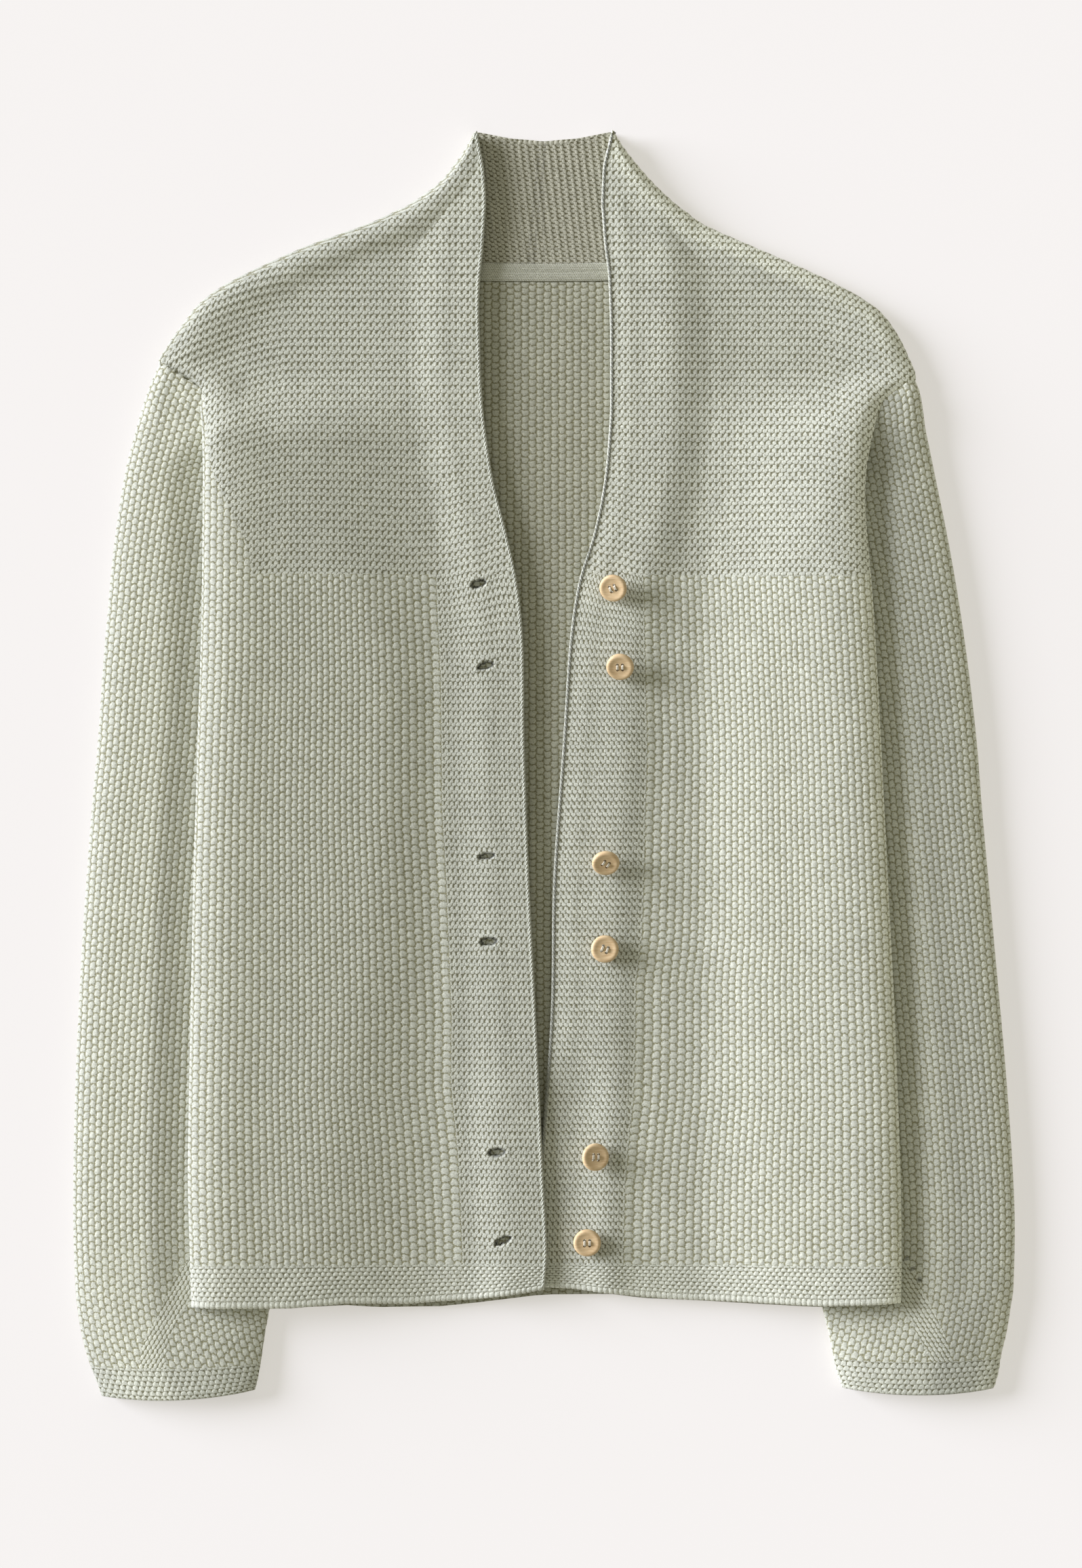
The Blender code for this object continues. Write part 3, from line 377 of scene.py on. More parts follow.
def moss(s, t):
    """Pointed bumps with wide feet, every second column half a bump lower."""
    s, t = hand(s, t)
    shape = (0.0, 2.2, -0.18, 0.20)
    bumps = larger(bean(s, t, (2, 1), (0.25, 0.0), (0.53, 0.60), *shape),
                   bean(s, t, (2, 1), (0.75, 0.5), (0.53, 0.60), *shape))
    pits = larger(spot(s, t, (2, 1), (0.25, 0.5), (0.27, 0.15)),
                  spot(s, t, (2, 1), (0.75, 0.0), (0.27, 0.15)))
    return bumps - pits * 0.42


def garter(s, t):
    """Rows of arches and of cups that lock into each other, with upright gaps between."""
    s, t = hand(s, t)
    return larger(bean(s, t, (1, 1), (0.5, 0.0), (0.455, 0.32), 0.05, 2.6, 0.0, 0.30),
                  bean(s, t, (1, 1), (0.0, 0.5), (0.475, 0.31), 0.10, 2.6, 0.0, -0.25)) \
        + sine((t + 0.25) * (2.0 * math.pi)) * 0.17 - 0.05


def fine_garter(s, t):
    """Rows of small arches, laid like bricks."""
    s, t = hand(s, t)
    return larger(bean(s, t, (1, 2), (0.0, 0.0), (0.55, 0.56), 0.0, 2.3, 0.0, 0.50),
                  bean(s, t, (1, 2), (0.5, 0.5), (0.55, 0.56), 0.0, 2.3, 0.0, 0.50))


def ridges(s, t):
    """The slow form of garter stitch."""
    return sine((t + 0.25) * (2.0 * math.pi)) * 0.4 + 0.5 + sine(s * (2.0 * math.pi)) * 0.1


def jersey(s, t):
    """Slanted loops in upright columns."""
    s, t = hand(s, t)
    return larger(bean(s, t, (2, 1), (0.25, 0.0), (0.48, 0.58), 0.12, 2.4),
                  bean(s, t, (2, 1), (0.75, 0.5), (0.48, 0.58), 0.12, 2.4))


def rib(s, t):
    """The fine rows of a woven or knitted tape."""
    return bean(s, t, (1, 1), (0.0, 0.0), (0.54, 0.54), 0.2)


def cast(s, t):
    """The upright loops of a cast-on or cast-off edge."""
    return bean(s, t, (1, 1), (0.0, 0.0), (0.56, 0.62), 0.06)


STITCHES = {"moss": moss, "garter": garter, "fine_garter": fine_garter, "jersey": jersey,
            "rib": rib, "cast": cast}
FORMS = dict(STITCHES, garter=ridges)
RELIEF = {"moss": 0.30, "garter": 0.34, "fine_garter": 0.42, "jersey": 0.40, "rib": 0.10,
          "cast": 0.40}
# Painted shade between the loops: how light the gaps are painted, as a share of the yarn, and how
# high the yarn is light all over.
GAPS = {"moss": (0.45, 0.62), "garter": (0.30, 0.60), "fine_garter": (0.30, 0.55),
        "jersey": (0.38, 0.5), "rib": (0.5, 0.7), "cast": (0.36, 0.5)}


def relief(kind, s, t):
    return RELIEF[kind] * (ramp(FORMS[kind](s, t), -0.1, 0.9) - 0.6)


# ---- materials -----------------------------------------------------------------------------
def feed(tree, slot, value):
    """Set an input of a node, or link it to a field or to another node's output."""
    source = value.socket if isinstance(value, Field) else value
    if isinstance(source, bpy.types.NodeSocket):
        tree.links.new(source, slot)
    else:
        slot.default_value = source


def node(tree, kind, inputs, **settings):
    made = tree.nodes.new(kind)
    for name, value in settings.items():
        setattr(made, name, value)
    for place, value in inputs.items():
        feed(tree, made.inputs[place], value)
    return made


def new_material(name, inputs):
    """A material, its nodes, its shader with these inputs, and the place on the object."""
    made = bpy.data.materials.new(name)
    made.use_nodes = True
    tree = made.node_tree
    shader = tree.nodes["Principled BSDF"]
    for place, value in inputs.items():
        feed(tree, shader.inputs[place], value)
    return made, tree, shader, node(tree, "ShaderNodeTexCoord", {}).outputs["Object"]


def noise(tree, place, scale, detail=2.0, roughness=0.5):
    return node(tree, "ShaderNodeTexNoise", {"Vector": place, "Scale": scale, "Detail": detail,
                                             "Roughness": roughness}).outputs


def two_colours(tree, factor, low, high, ends=(0.0, 1.0)):
    """From one colour to another, between these values of the factor."""
    made = node(tree, "ShaderNodeValToRGB", {0: factor})
    for element, colour, end in zip(made.color_ramp.elements, (low, high), ends):
        element.position, element.color = end, (*colour, 1.0)
    return made.outputs[0]


def bump(tree, shader, height, strength, distance):
    made = node(tree, "ShaderNodeBump", {"Height": height, "Strength": strength,
                                         "Distance": distance * MM})
    feed(tree, shader.inputs["Normal"], made.outputs[0])


def knit_material(name, colour, kind):
    """Cotton yarn in one stitch: light on the loops, with painted shade between them, and fuzzy
    plies.
    """
    dark, light_from = GAPS[kind]
    made, tree, shader, place = new_material(name, {
        "Roughness": 0.75, "Specular IOR Level": 0.22, "Sheen Weight": 0.22,
        "Sheen Roughness": 0.5, "Sheen Tint": (0.97, 0.98, 0.98, 1.0)})

    def parts_of(socket):
        parts = node(tree, "ShaderNodeSeparateXYZ", {0: socket})
        return [Field(tree, part) for part in parts.outputs]

    def wandering(scale, detail, roughness=0.6):
        """Three fields that wander about zero."""
        return [field - 0.5 for field in parts_of(noise(tree, place, scale, detail, roughness)[1])]

    knit = node(tree, "ShaderNodeAttribute", {}, attribute_name="knit")
    # shade: the painted light and shade of each corner, with the seam's dark dashes
    s, t, shade = parts_of(knit.outputs["Vector"])
    wander, fuzz, patch = wandering(600.0, 1.0), wandering(1250.0, 3.0, 0.8), wandering(70.0, 2.0)
    s, t = s + wander[0] * 0.35 + fuzz[2] * 0.35, t + wander[1] * 0.30 + fuzz[1] * 0.30
    height = STITCHES[kind](s, t)
    open_part = ramp(height + fuzz[0] * 0.7, -0.05, light_from)
    plies = sine((t * 3.0 + sine(s * (2.0 * math.pi)) * 0.35 + wander[2]) * (2.0 * math.pi))
    # the painted shade colour of the gaps
    gap_shade = (colour[0] * dark, colour[1] * dark * 0.94, colour[2] * dark * 0.64, 1.0)
    mix = node(tree, "ShaderNodeMix", {0: open_part, 6: gap_shade, 7: (*colour, 1.0)},
               data_type="RGBA")
    # Random tone from the noises and plies, times the painted light and shade that each corner
    # carries.
    light = ((fuzz[0] * 1.3 + 1.0) * (wander[2] * 0.35 + 1.0) * (patch[0] * 0.22 + 1.0)
             * (plies * 0.05 + 0.98) * shade)
    scaled = node(tree, "ShaderNodeVectorMath", {0: mix.outputs[2], "Scale": light},
                  operation="SCALE")
    feed(tree, shader.inputs["Base Color"], scaled.outputs[0])
    bumps = ramp(height, -0.1, 0.9) + plies * 0.06 + fuzz[1] * 0.9
    bump(tree, shader, bumps, 0.8, 0.6 * RELIEF[kind])
    return made


# The back's and the collar's tones are painted shade: darker copies of the same yarn, for the inner
# sides that show in the neck opening.
TONES = {"front": (0.625, 0.637, 0.520), "sleeve": (0.625, 0.637, 0.520),
         "back": (0.440, 0.440, 0.335), "collar": (0.470, 0.460, 0.350),
         "tape": (0.525, 0.530, 0.435)}
MATERIALS = {}


def material_for(kind, tone="front"):
    if (kind, tone) not in MATERIALS:
        MATERIALS[kind, tone] = knit_material(f"{tone}_{kind}", TONES[tone], kind)
    return MATERIALS[kind, tone]


# ---- meshes ---------------------------------------------------------------------------------
def raw_mesh(name, points, corners, counts):
    mesh = bpy.data.meshes.new(name)
    mesh.vertices.add(len(points))
    mesh.loops.add(len(corners))
    mesh.polygons.add(len(counts))
    mesh.vertices.foreach_set("co", np.ascontiguousarray(points, np.float32).ravel())
    mesh.loops.foreach_set("vertex_index", np.ascontiguousarray(corners, np.int32))
    starts = np.concatenate(([0], np.cumsum(counts)[:-1]))
    mesh.polygons.foreach_set("loop_start", starts.astype(np.int32))
    mesh.update(calc_edges=True)
    mesh.validate()
    mesh.shade_smooth()
    return mesh

def quads_of(number, turned=False):
    """The faces of a grid of point numbers."""
    one, two, three, four = number[:-1, :-1], number[:-1, 1:], number[1:, 1:], number[1:, :-1]
    return np.stack((one, four, three, two) if turned else (one, two, three, four),
                    axis=-1).reshape(-1, 4)


def corner_places(places, shade, quads, kinds):
    """Stitch place and shade at the corners of faces, each in the stitch of its kind."""
    s, t = (np.stack([place[k] for place in places]).reshape(len(places), -1) for k in (0, 1))
    own = np.repeat(kinds, 4).reshape(-1, 4)
    return np.stack((s[own, quads], t[own, quads], shade.ravel()[quads]), axis=2).reshape(-1, 3)


def dress(mesh, knit, kinds, materials):
    """Give a mesh its stitch places, its materials, and its first faces their kinds."""
    layer = mesh.attributes.new("knit", "FLOAT_VECTOR", "CORNER")
    layer.data.foreach_set("vector", np.ascontiguousarray(knit, np.float32).ravel())
    slots = np.zeros(len(mesh.polygons), np.int32)
    slots[:len(kinds)] = kinds
    mesh.polygons.foreach_set("material_index", slots)
    for material in materials:
        mesh.materials.append(material)


def add(name, mesh):
    made = bpy.data.objects.new(name, mesh)
    bpy.context.scene.collection.objects.link(made)
    return made


def declare(grid):
    """Measure the diagonals of a cloth piece's cells, along its smooth form, and keep nothing."""
    one, other = grid[1:, 1:] - grid[:-1, :-1], grid[1:, :-1] - grid[:-1, 1:]


def ends_of(count, step):
    """Every step-th number below count, and the last one."""
    return np.array([*range(0, count - 1, step), count - 1])


def stitch_height(kinds, places, own):
    """How far the stitches stand up, at points that each belong to one kind of them."""
    height = np.zeros(own.shape)
    for number, kind in enumerate(kinds):
        height = np.where(own == number, relief(kind, *places[number]), height)
    return height


class Cloth:
    """A closed wall: a fine upper grid, a coarse lower one, and the rim between them."""

    def __init__(self, name, upper, kinds, places, zone=None, shade=None):
        """upper: rows x columns x 3, places: kind -> (s, t), zone: the kind of each face."""
        rows, columns = upper.shape[:2]
        self.name, self.upper, self.kinds, self.places = name, upper, kinds, places
        self.zone = np.zeros((rows - 1, columns - 1), int) if zone is None else zone
        self.shade = np.ones((rows, columns)) if shade is None else shade

    def normals(self):
        normal = np.cross(np.gradient(self.upper, axis=1), np.gradient(self.upper, axis=0))
        length = np.linalg.norm(normal, axis=2, keepdims=True)
        normal = normal / np.maximum(length, 1e-9)
        middle = normal[normal.shape[0] // 2, normal.shape[1] // 2]
        return normal if middle[2] > 0 else -normal

    def part(self, name, first, last):
        """The rows from first to last, as a cloth of its own."""
        rows = slice(first, last + 1)
        return Cloth(name, self.upper[rows], self.kinds,
                     tuple((s[rows], t[rows]) for s, t in self.places),
                     self.zone[first:last], self.shade[rows])

    def raised(self):
        """The upper grid with its stitches raised."""
        rows, columns = self.upper.shape[:2]
        at_row = np.minimum(np.arange(rows), rows - 2)
        at_column = np.minimum(np.arange(columns), columns - 2)
        own = self.zone[np.ix_(at_row, at_column)]
        height = stitch_height(self.kinds, self.places, own)
        return self.upper + self.normals() * height[:, :, None]

    def build(self, top, lower, steps, materials, shared=()):
        """top: the upper grid as it shows. lower: the underside, of which every so many rows
        and columns are used. shared: (row or place, normals) where a neighbouring piece goes
        on, so that no line shows."""
        rows, columns = top.shape[:2]
        row_ends, column_ends = ends_of(rows, steps[0]), ends_of(columns, steps[1])
        lower = lower[np.ix_(row_ends, column_ends)]
        points = np.concatenate((top.reshape(-1, 3), lower.reshape(-1, 3))) * MM
        base = rows * columns
        number = np.arange(base).reshape(rows, columns)
        under = np.arange(base, len(points)).reshape(lower.shape[:2])
        quads, floor = quads_of(number), quads_of(under, turned=True)
        flip = np.cross(top[rows // 2, columns // 2 + 1] - top[rows // 2, columns // 2],
                        top[rows // 2 + 1, columns // 2] - top[rows // 2, columns // 2])[2] < 0
        rim = []
        loops = ((number[0], under[0], column_ends, False),
                 (number[-1], under[-1], column_ends, True),
                 (number[:, 0], under[:, 0], row_ends, True),
                 (number[:, -1], under[:, -1], row_ends, False))
        for fine, coarse, ends, turn in loops:
            for step in range(len(ends) - 1):
                first, last = ends[step], ends[step + 1]
                middle = (first + last) // 2
                start, end = coarse[step], coarse[step + 1]
                faces = [(fine[m], start, fine[m + 1]) for m in range(first, middle)]
                faces.append((fine[middle], start, end))
                faces += [(fine[m], end, fine[m + 1]) for m in range(middle, last)]
                rim += [face[::-1] for face in faces] if turn else faces
        rim = np.array(rim)
        if flip:
            quads, floor, rim = quads[:, ::-1], floor[:, ::-1], rim[:, ::-1]
        corners = np.concatenate((quads.ravel(), floor.ravel(), rim.ravel()))
        counts = np.concatenate((np.full(len(quads) + len(floor), 4), np.full(len(rim), 3)))
        mesh = raw_mesh(self.name, points, corners, counts)
        count = quads.size
        knit = points[corners] / (SLEEVE_PITCH * MM, ROW * MM, 1.0)
        knit[:, 2] = UNDER_SHADE
        knit[:count] = corner_places(self.places, self.shade, quads, self.zone.ravel())
        dress(mesh, knit, self.zone.ravel(), materials)
        if shared:
            own = np.zeros((len(points), 3))
            for row, normals in shared:
                own[number[row]] = normals
            mesh.normals_split_custom_set_from_vertices(own)
        return add(self.name, mesh)


def softened(grid, weight, times):
    """A grid whose heights are drawn to their neighbours' middle, as far as weight says."""
    grid = grid.copy()
    height = grid[:, :, 2]
    for _ in range(times):
        middle = 0.25 * (height[:-2, 1:-1] + height[2:, 1:-1] + height[1:-1, :-2]
                         + height[1:-1, 2:])
        height[1:-1, 1:-1] += (middle - height[1:-1, 1:-1]) * weight[1:-1, 1:-1]
    return grid


def near(grid, x, y, reach):
    """1 at a place, falling to 0 at this reach from it."""
    return smooth(2.0 - 2.0 * np.hypot(grid[:, :, 0] - x, grid[:, :, 1] - y) / reach)


# ---- a front's base form ----------------------------------------------------------------------
SIDES = ((-1, "right"), (1, "left"))
HEAD = {-1: (-203.0, 212.0), 1: (200.0, 204.0)}   # where the sleeve heads meet the yoke
HEAD_REACH, HEAD_SOFT = 36.0, 160      # how far round it, and how often, it is softened
FOLDED_COLUMNS = 9             # mesh columns round the fold, which stay as they are
FOLD_TURNS = np.radians(np.linspace(SEAM_ANGLE, 90.0, 40))


class Panel:
    """Rows across a front, and the form of the cloth at a distance along each of them."""

    def __init__(self, side, rows, calm=0):
        """calm: how often the directions of the rows are drawn to their neighbours'."""
        self.side = side
        self.line, self.end = rows[:, 0:2], rows[:, 2:4]
        run = np.gradient(self.line, axis=0)
        into = unit(np.stack((run[:, 1], -run[:, 0]), axis=1))
        into *= np.sign(np.sum(into * (self.end - self.line), axis=1))[:, None]
        for _ in range(calm):
            into[1:-1] += into[:-2] + into[2:]
            into = unit(into)
        self.into = into
        width = np.linalg.norm(self.end - self.line, axis=1)
        self.roll = np.minimum(rows[:, 4], FOLD_SHARE * width)
        self.top = self.line + self.into * self.roll[:, None]
        self.low = lift(self.top[:, 0], self.top[:, 1])
        curve = np.stack((self.roll[:, None] * (1 - np.cos(FOLD_TURNS)),
                          np.broadcast_to(FOLD_HALF * np.sin(FOLD_TURNS),
                                          (len(rows), len(FOLD_TURNS)))), axis=2)
        self.arcs = np.stack([travel(line) for line in curve])
        self.arc = self.arcs[:, -1]
        self.flat = np.linalg.norm(self.end - self.top, axis=1)
        self.length = self.arc + self.flat

    def at(self, distances):
        """Form and unrolled plan at distances from the seam: rows x columns."""
        rows, columns = distances.shape
        form = np.zeros((rows, columns, 3))
        flat_plan = np.zeros((rows, columns, 2))
        for i in range(rows):
            d = distances[i]
            turn = np.interp(d, self.arcs[i], FOLD_TURNS)
            beyond = d - self.arc[i]
            folded = beyond < 0
            offset = self.roll[i] * (1 - np.cos(turn))
            plan = self.line[i] + self.into[i] * offset[:, None]
            along = (self.end[i] - self.top[i]) / self.flat[i]
            straight = self.top[i] + along * beyond[:, None]
            unrolled = self.top[i] + self.into[i] * beyond[:, None]
            form[i, :, :2] = np.where(folded[:, None], plan, straight)
            flat_plan[i] = np.where(folded[:, None], unrolled, straight)
            form[i, :, 2] = self.low[i] + FOLD_HALF * (1 + np.sin(turn))
        return form, flat_plan

    def settle(self, form, distances):
        """Put the flat part at its height over the back."""
        beyond = distances - self.arc[:, None]
        from_edge = np.maximum(self.flat[:, None] - beyond, 0.0)
        x, y = form[:, :, 0], form[:, :, 1]
        air = air_under(self.side, np.maximum(beyond, 0.0), from_edge, y)
        low = lift(x, y) + WALL + air
        form[:, :, 2] = np.where(beyond >= 0, low + WALL, form[:, :, 2])
        return form


def edge_columns(form, radius, steps):
    """Columns that turn the cloth's last column round its rim and under it."""
    direction = form[:, -1] - form[:, -2]
    direction[:, 2] = 0.0
    direction = unit(direction)
    columns = []
    for turn in np.radians(np.linspace(0, 180, steps + 1)[1:]):
        point = form[:, -1] + direction * (radius * math.sin(turn))
        point[:, 2] -= radius * (1 - math.cos(turn))
        columns.append(point)
    return np.concatenate((form, np.stack(columns, axis=1)), axis=1)


# How wide the moss columns are beside each other, from the seam to the band.
MOSS_WEIGHTS = np.interp(np.arange(MOSS_COLUMNS) + 0.5,
                         (0, 9, 14, 26, 33, 38), (4.1, 4.0, 3.4, 3.5, 4.4, 4.7))
MOSS_PLACES = spread(MOSS_WEIGHTS, FINE)
BAND_STEPS = BAND_BEANS * FINE
EDGE_STEPS, TURNED_ROWS = 6, 5         # columns and rows that turn a front's rim under
EDGE_STITCH, HEM_STITCH = 0.3, 0.25    # of a stitch, in each of them
STITCH_ROOM, EDGE_WALL = 0.4, 0.05     # of the wall for its stitches, and what closes its edge


def columns_of(panel, boundary):
    """Distances of the mesh columns from the seam, with the band's start at boundary."""
    moss_part = boundary[:, None] * MOSS_PLACES[None, :]
    rest = (panel.length - EDGE_ROLL - boundary)[:, None]
    band = boundary[:, None] + rest * (np.arange(1, BAND_STEPS + 1) / BAND_STEPS)[None, :]
    return np.concatenate((moss_part, band), axis=1)


# The last is the painted shade in a buttonhole's pit.
HOLE_DEPTH, HOLE_RIM, HOLE_PAINTED_SHADE = 3.3, 0.30, 0.72      # of a buttonhole


def hole_depth(x, y):
    """How far the band is cut away at its buttonholes, with raised rims, and the painted shade in
    them.

    Distances from a buttonhole's middle are in parts of its half length and half width.
    """
    depth, dark = np.zeros_like(x), np.ones_like(x)
    for hole_x, hole_y, length, width, turn in BUTTONHOLES:
        angle = math.radians(turn)
        dx, dy = x - hole_x, y - hole_y
        along = (dx * math.cos(angle) + dy * math.sin(angle)) / (0.5 * length)
        across = (dy * math.cos(angle) - dx * math.sin(angle)) / (0.5 * width)
        away = np.hypot(along, across)
        depth += HOLE_DEPTH * smooth((1.22 - away) / 0.34)
        depth -= HOLE_RIM * np.exp(-((away - 1.42) / 0.26) ** 2)
        dark *= 1.0 - HOLE_PAINTED_SHADE * smooth((1.32 - away) / 0.3)
    return depth, dark


def hole_bow(x, y):
    """Rows of the band bow round its buttonholes."""
    shift = np.zeros_like(x)
    for hole_x, hole_y, _, _, turn in BUTTONHOLES:
        slope = math.tan(math.radians(turn))
        dx = x - hole_x
        dy = y - hole_y - slope * dx
        shift -= 0.42 * np.tanh(dy / 1.5) * np.exp(-(dy / 5.0) ** 2) * np.exp(-(dx / 6.5) ** 2)
        shift += 0.05 * slope * dx * np.exp(-(dy / 12.0) ** 2) * np.exp(-(dx / 14.0) ** 2)
    return shift


def extend(cloth, top):
    """Add columns after the last one and rows before the first that turn the rim under."""
    def grown(values, across=0.0, down=0.0):
        made = np.pad(values, ((TURNED_ROWS, 0), (0, EDGE_STEPS)), mode="edge")
        made[:, -EDGE_STEPS:] += np.arange(1, EDGE_STEPS + 1)[None, :] * across
        made[:TURNED_ROWS] += (np.arange(TURNED_ROWS, 0, -1) * down)[:, None]
        return made

    wide = edge_columns(top, EDGE_ROLL, EDGE_STEPS)
    turned = edge_columns(np.swapaxes(wide[::-1], 0, 1), EDGE_ROLL, TURNED_ROWS)
    wide = np.swapaxes(turned, 0, 1)[::-1]
    places = tuple((grown(s, across=EDGE_STITCH), grown(t, down=HEM_STITCH))
                   for s, t in cloth.places)
    zone = np.pad(cloth.zone, ((TURNED_ROWS, 0), (0, EDGE_STEPS)), mode="edge")
    return Cloth(cloth.name, wide, cloth.kinds, places, zone, grown(cloth.shade))


def close(cloth, top, materials, shared):
    """Build a cloth whose underside follows its smooth form, without its stitches."""
    lower = cloth.upper - cloth.normals() * (WALL - STITCH_ROOM)
    lower[:, -1] = top[:, -1] - (0, 0, EDGE_WALL)
    return cloth.build(top, lower, (8, 8), materials, shared)


# How much lower a ridge of the yoke runs, by the distance from the middle of the garment.
SAG = ((22.0, -6.8), (38.0, -2.6), (57.0, 0.9), (76.0, 1.9), (95.0, 1.0), (115.0, 0.3),
       (134.0, 0.0))
SAG_FROM, SAG_RUN = 20.0, 80.0         # how far up the yoke that fades out
SHOULDER_X = {-1: 141.0, 1: 150.0}     # beyond it the ridges slant down more and more
SLANT, SLANT_RUN, SLANT_RISE = 4.6, 38.0, 60.0     # by so much at so far, twice that above


def yoke_drop(side, x, y):
    """How much lower a ridge runs than its place in the middle of the garment."""
    above = smooth((y - YOKE_Y) / SLANT_RISE)
    reach = np.clip(side * x - SHOULDER_X[side], 0, None)
    sag = eased(SAG, np.abs(x)) * (1 - smooth((y - YOKE_Y - SAG_FROM) / SAG_RUN))
    return sag + SLANT * (1 + above) * (reach / SLANT_RUN) ** 1.5


HEM_ROWS = 7 * FINE
CAST_ROWS = 3                  # of the hem, in the loops it is cast on with
YOKE_ROWS = 222
EVEN_ROWS = 40.0               # over which a yoke's columns become even
DROP_UNIT, DROP_RUN = 4.3, 60.0        # a ridge in that drop, and where it has faded out
FRONT_KINDS = ("moss", "garter", "fine_garter", "cast", "garter")
MOSS, BAND, HEM_PART, CAST, RIDGES = range(5)
HEM_WIDE, HEM_TALL = 3.4, 1.22         # millimetres for a stitch; stitches for a hem row
CAST_WIDE, CAST_TALL = 3.0, 0.5        # the same for the loops at its edge
MOSS_ON, MOSS_ON_LESS, MOSS_ON_RUN = 9.0, 6.5, 72.0    # moss columns that go on up the yoke
# A lighter hem; painted shade on the band; at the right front's shoulder, the painted light and
# shade by the fold drawn back towards none.
HEM_LIGHT, BAND_PAINTED_SHADE, SHOULDER_PAINTED_LIGHT = 1.08, 0.09, 0.15
BAND_SOFT = 8.0                # mesh columns over which the band's shade begins
# Painted light and shade: how much lighter the yarn is painted at these distances from a front's
# seam, or a sleeve's fold, against how the low light falls on the folds.
SIDE_PAINTED_LIGHT = {-1: ((5.0, 0.68), (12.0, 0.86), (20.0, 1.04), (34.0, 1.04), (60.0, 0.95)),
             1: ((10.0, 1.38), (24.0, 0.98), (40.0, 0.95), (60.0, 1.02), (95.0, 1.0),
                 (118.0, 0.94), (132.0, 0.95), (145.0, 1.0))}
SLEEVE_PAINTED_LIGHT = {-1: ((-6.0, 0.58), (0.0, 0.64), (5.0, 0.90), (14.0, 1.08), (20.0, 1.18),
                    (38.0, 1.16), (46.0, 1.0), (60.0, 1.0)),
               1: ((0.0, 1.28), (9.0, 1.12), (16.0, 0.85), (34.0, 0.80), (44.0, 0.97),
                   (60.0, 1.01))}


def front_rows(side):
    """Rows across a front, from its cast-on edge to the collar's peak, and the yoke's first."""
    table = FRONT[side]
    count = round((YOKE_Y - HEM_Y) / ROW) * FINE
    heights = np.linspace(HEM_Y, YOKE_Y, count + 1)
    lower = table[:YOKE_FIRST_ROW + 1]
    body = rows_where(lower, 1, heights)
    body[:, 2] = rows_where(lower, 3, heights)[:, 2]
    body[:, 1] = body[:, 3] = heights
    share = (np.arange(HEM_ROWS) / HEM_ROWS)[:, None]
    hem = table[0] * (1 - share) + body[0] * share
    hem[:, (1, 3)] += EDGE_ROLL * (1 - share)
    yoke = np.concatenate((body[-1:], table[YOKE_FIRST_ROW:]))
    fine = np.linspace(0, len(yoke) - 1, 1200)
    steps = np.diff(through(yoke, fine), axis=0)
    travelled = np.concatenate(([0.0], np.cumsum(np.hypot(steps[:, 0], steps[:, 1])
                                                 + np.hypot(steps[:, 2], steps[:, 3]))))
    places = np.interp(np.linspace(0, travelled[-1], YOKE_ROWS), travelled, fine)
    return np.concatenate((hem, body, through(yoke, places)[1:])), HEM_ROWS + count


def front_distances(side, panel, seam):
    """Distances of a front's mesh columns from its seam; its yoke's first row is at seam."""
    number = np.arange(len(panel.line))
    band_x = read(BAND_X[side], panel.end[:, 1])
    part = (band_x - panel.top[:, 0]) / (panel.end[:, 0] - panel.top[:, 0])
    boundary = panel.arc + part * panel.flat
    boundary = np.where(number > seam, panel.length * boundary[seam] / panel.length[seam],
                        boundary)
    distances = columns_of(panel, boundary)
    uniform = ((panel.length - EDGE_ROLL)[:, None]
               * np.linspace(0, 1, distances.shape[1])[None, :])
    even = smooth((number - seam) / EVEN_ROWS)[:, None]
    return distances * (1 - even) + uniform * even


def front_form(side, panel, distances):
    """A front's smooth form with the bow of its hem, and its unrolled plan."""
    first = FRONT[side][0]
    form, plan = panel.at(distances)
    bow = np.clip(1 - np.arange(len(form)) / HEM_ROWS, 0, 1)[:, None]
    straight = first[1] + (first[3] - first[1]) * np.clip(
        (form[:, :, 0] - first[0]) / (first[2] - first[0]), 0, 1)
    form[:, :, 1] += (read(HEM[side], form[:, :, 0]) - straight) * bow
    form = panel.settle(form, distances)
    weight = near(form, *HEAD[side], HEAD_REACH)
    weight[:, :FOLDED_COLUMNS] = 0.0
    return softened(form, weight, HEAD_SOFT), plan


def front_shade(side, y, distances, in_band, fading):
    """Painted light and shade on a front's yarn by its fold, its band and its shoulder, and a
    lighter hem; its buttonholes apart.
    """
    # painted light and shade by the distance from the fold
    beside = read(SIDE_PAINTED_LIGHT[side], distances)
    if side < 0:
        beside += (SHOULDER_PAINTED_LIGHT * (1 - beside) * smooth((y - YOKE_Y - 15.0) / 60.0)
                   * smooth((232.0 - y) / 16.0))
    shade = beside * (1 - BAND_PAINTED_SHADE * in_band * (1 - fading))
    shade[:HEM_ROWS] *= HEM_LIGHT
    return shade


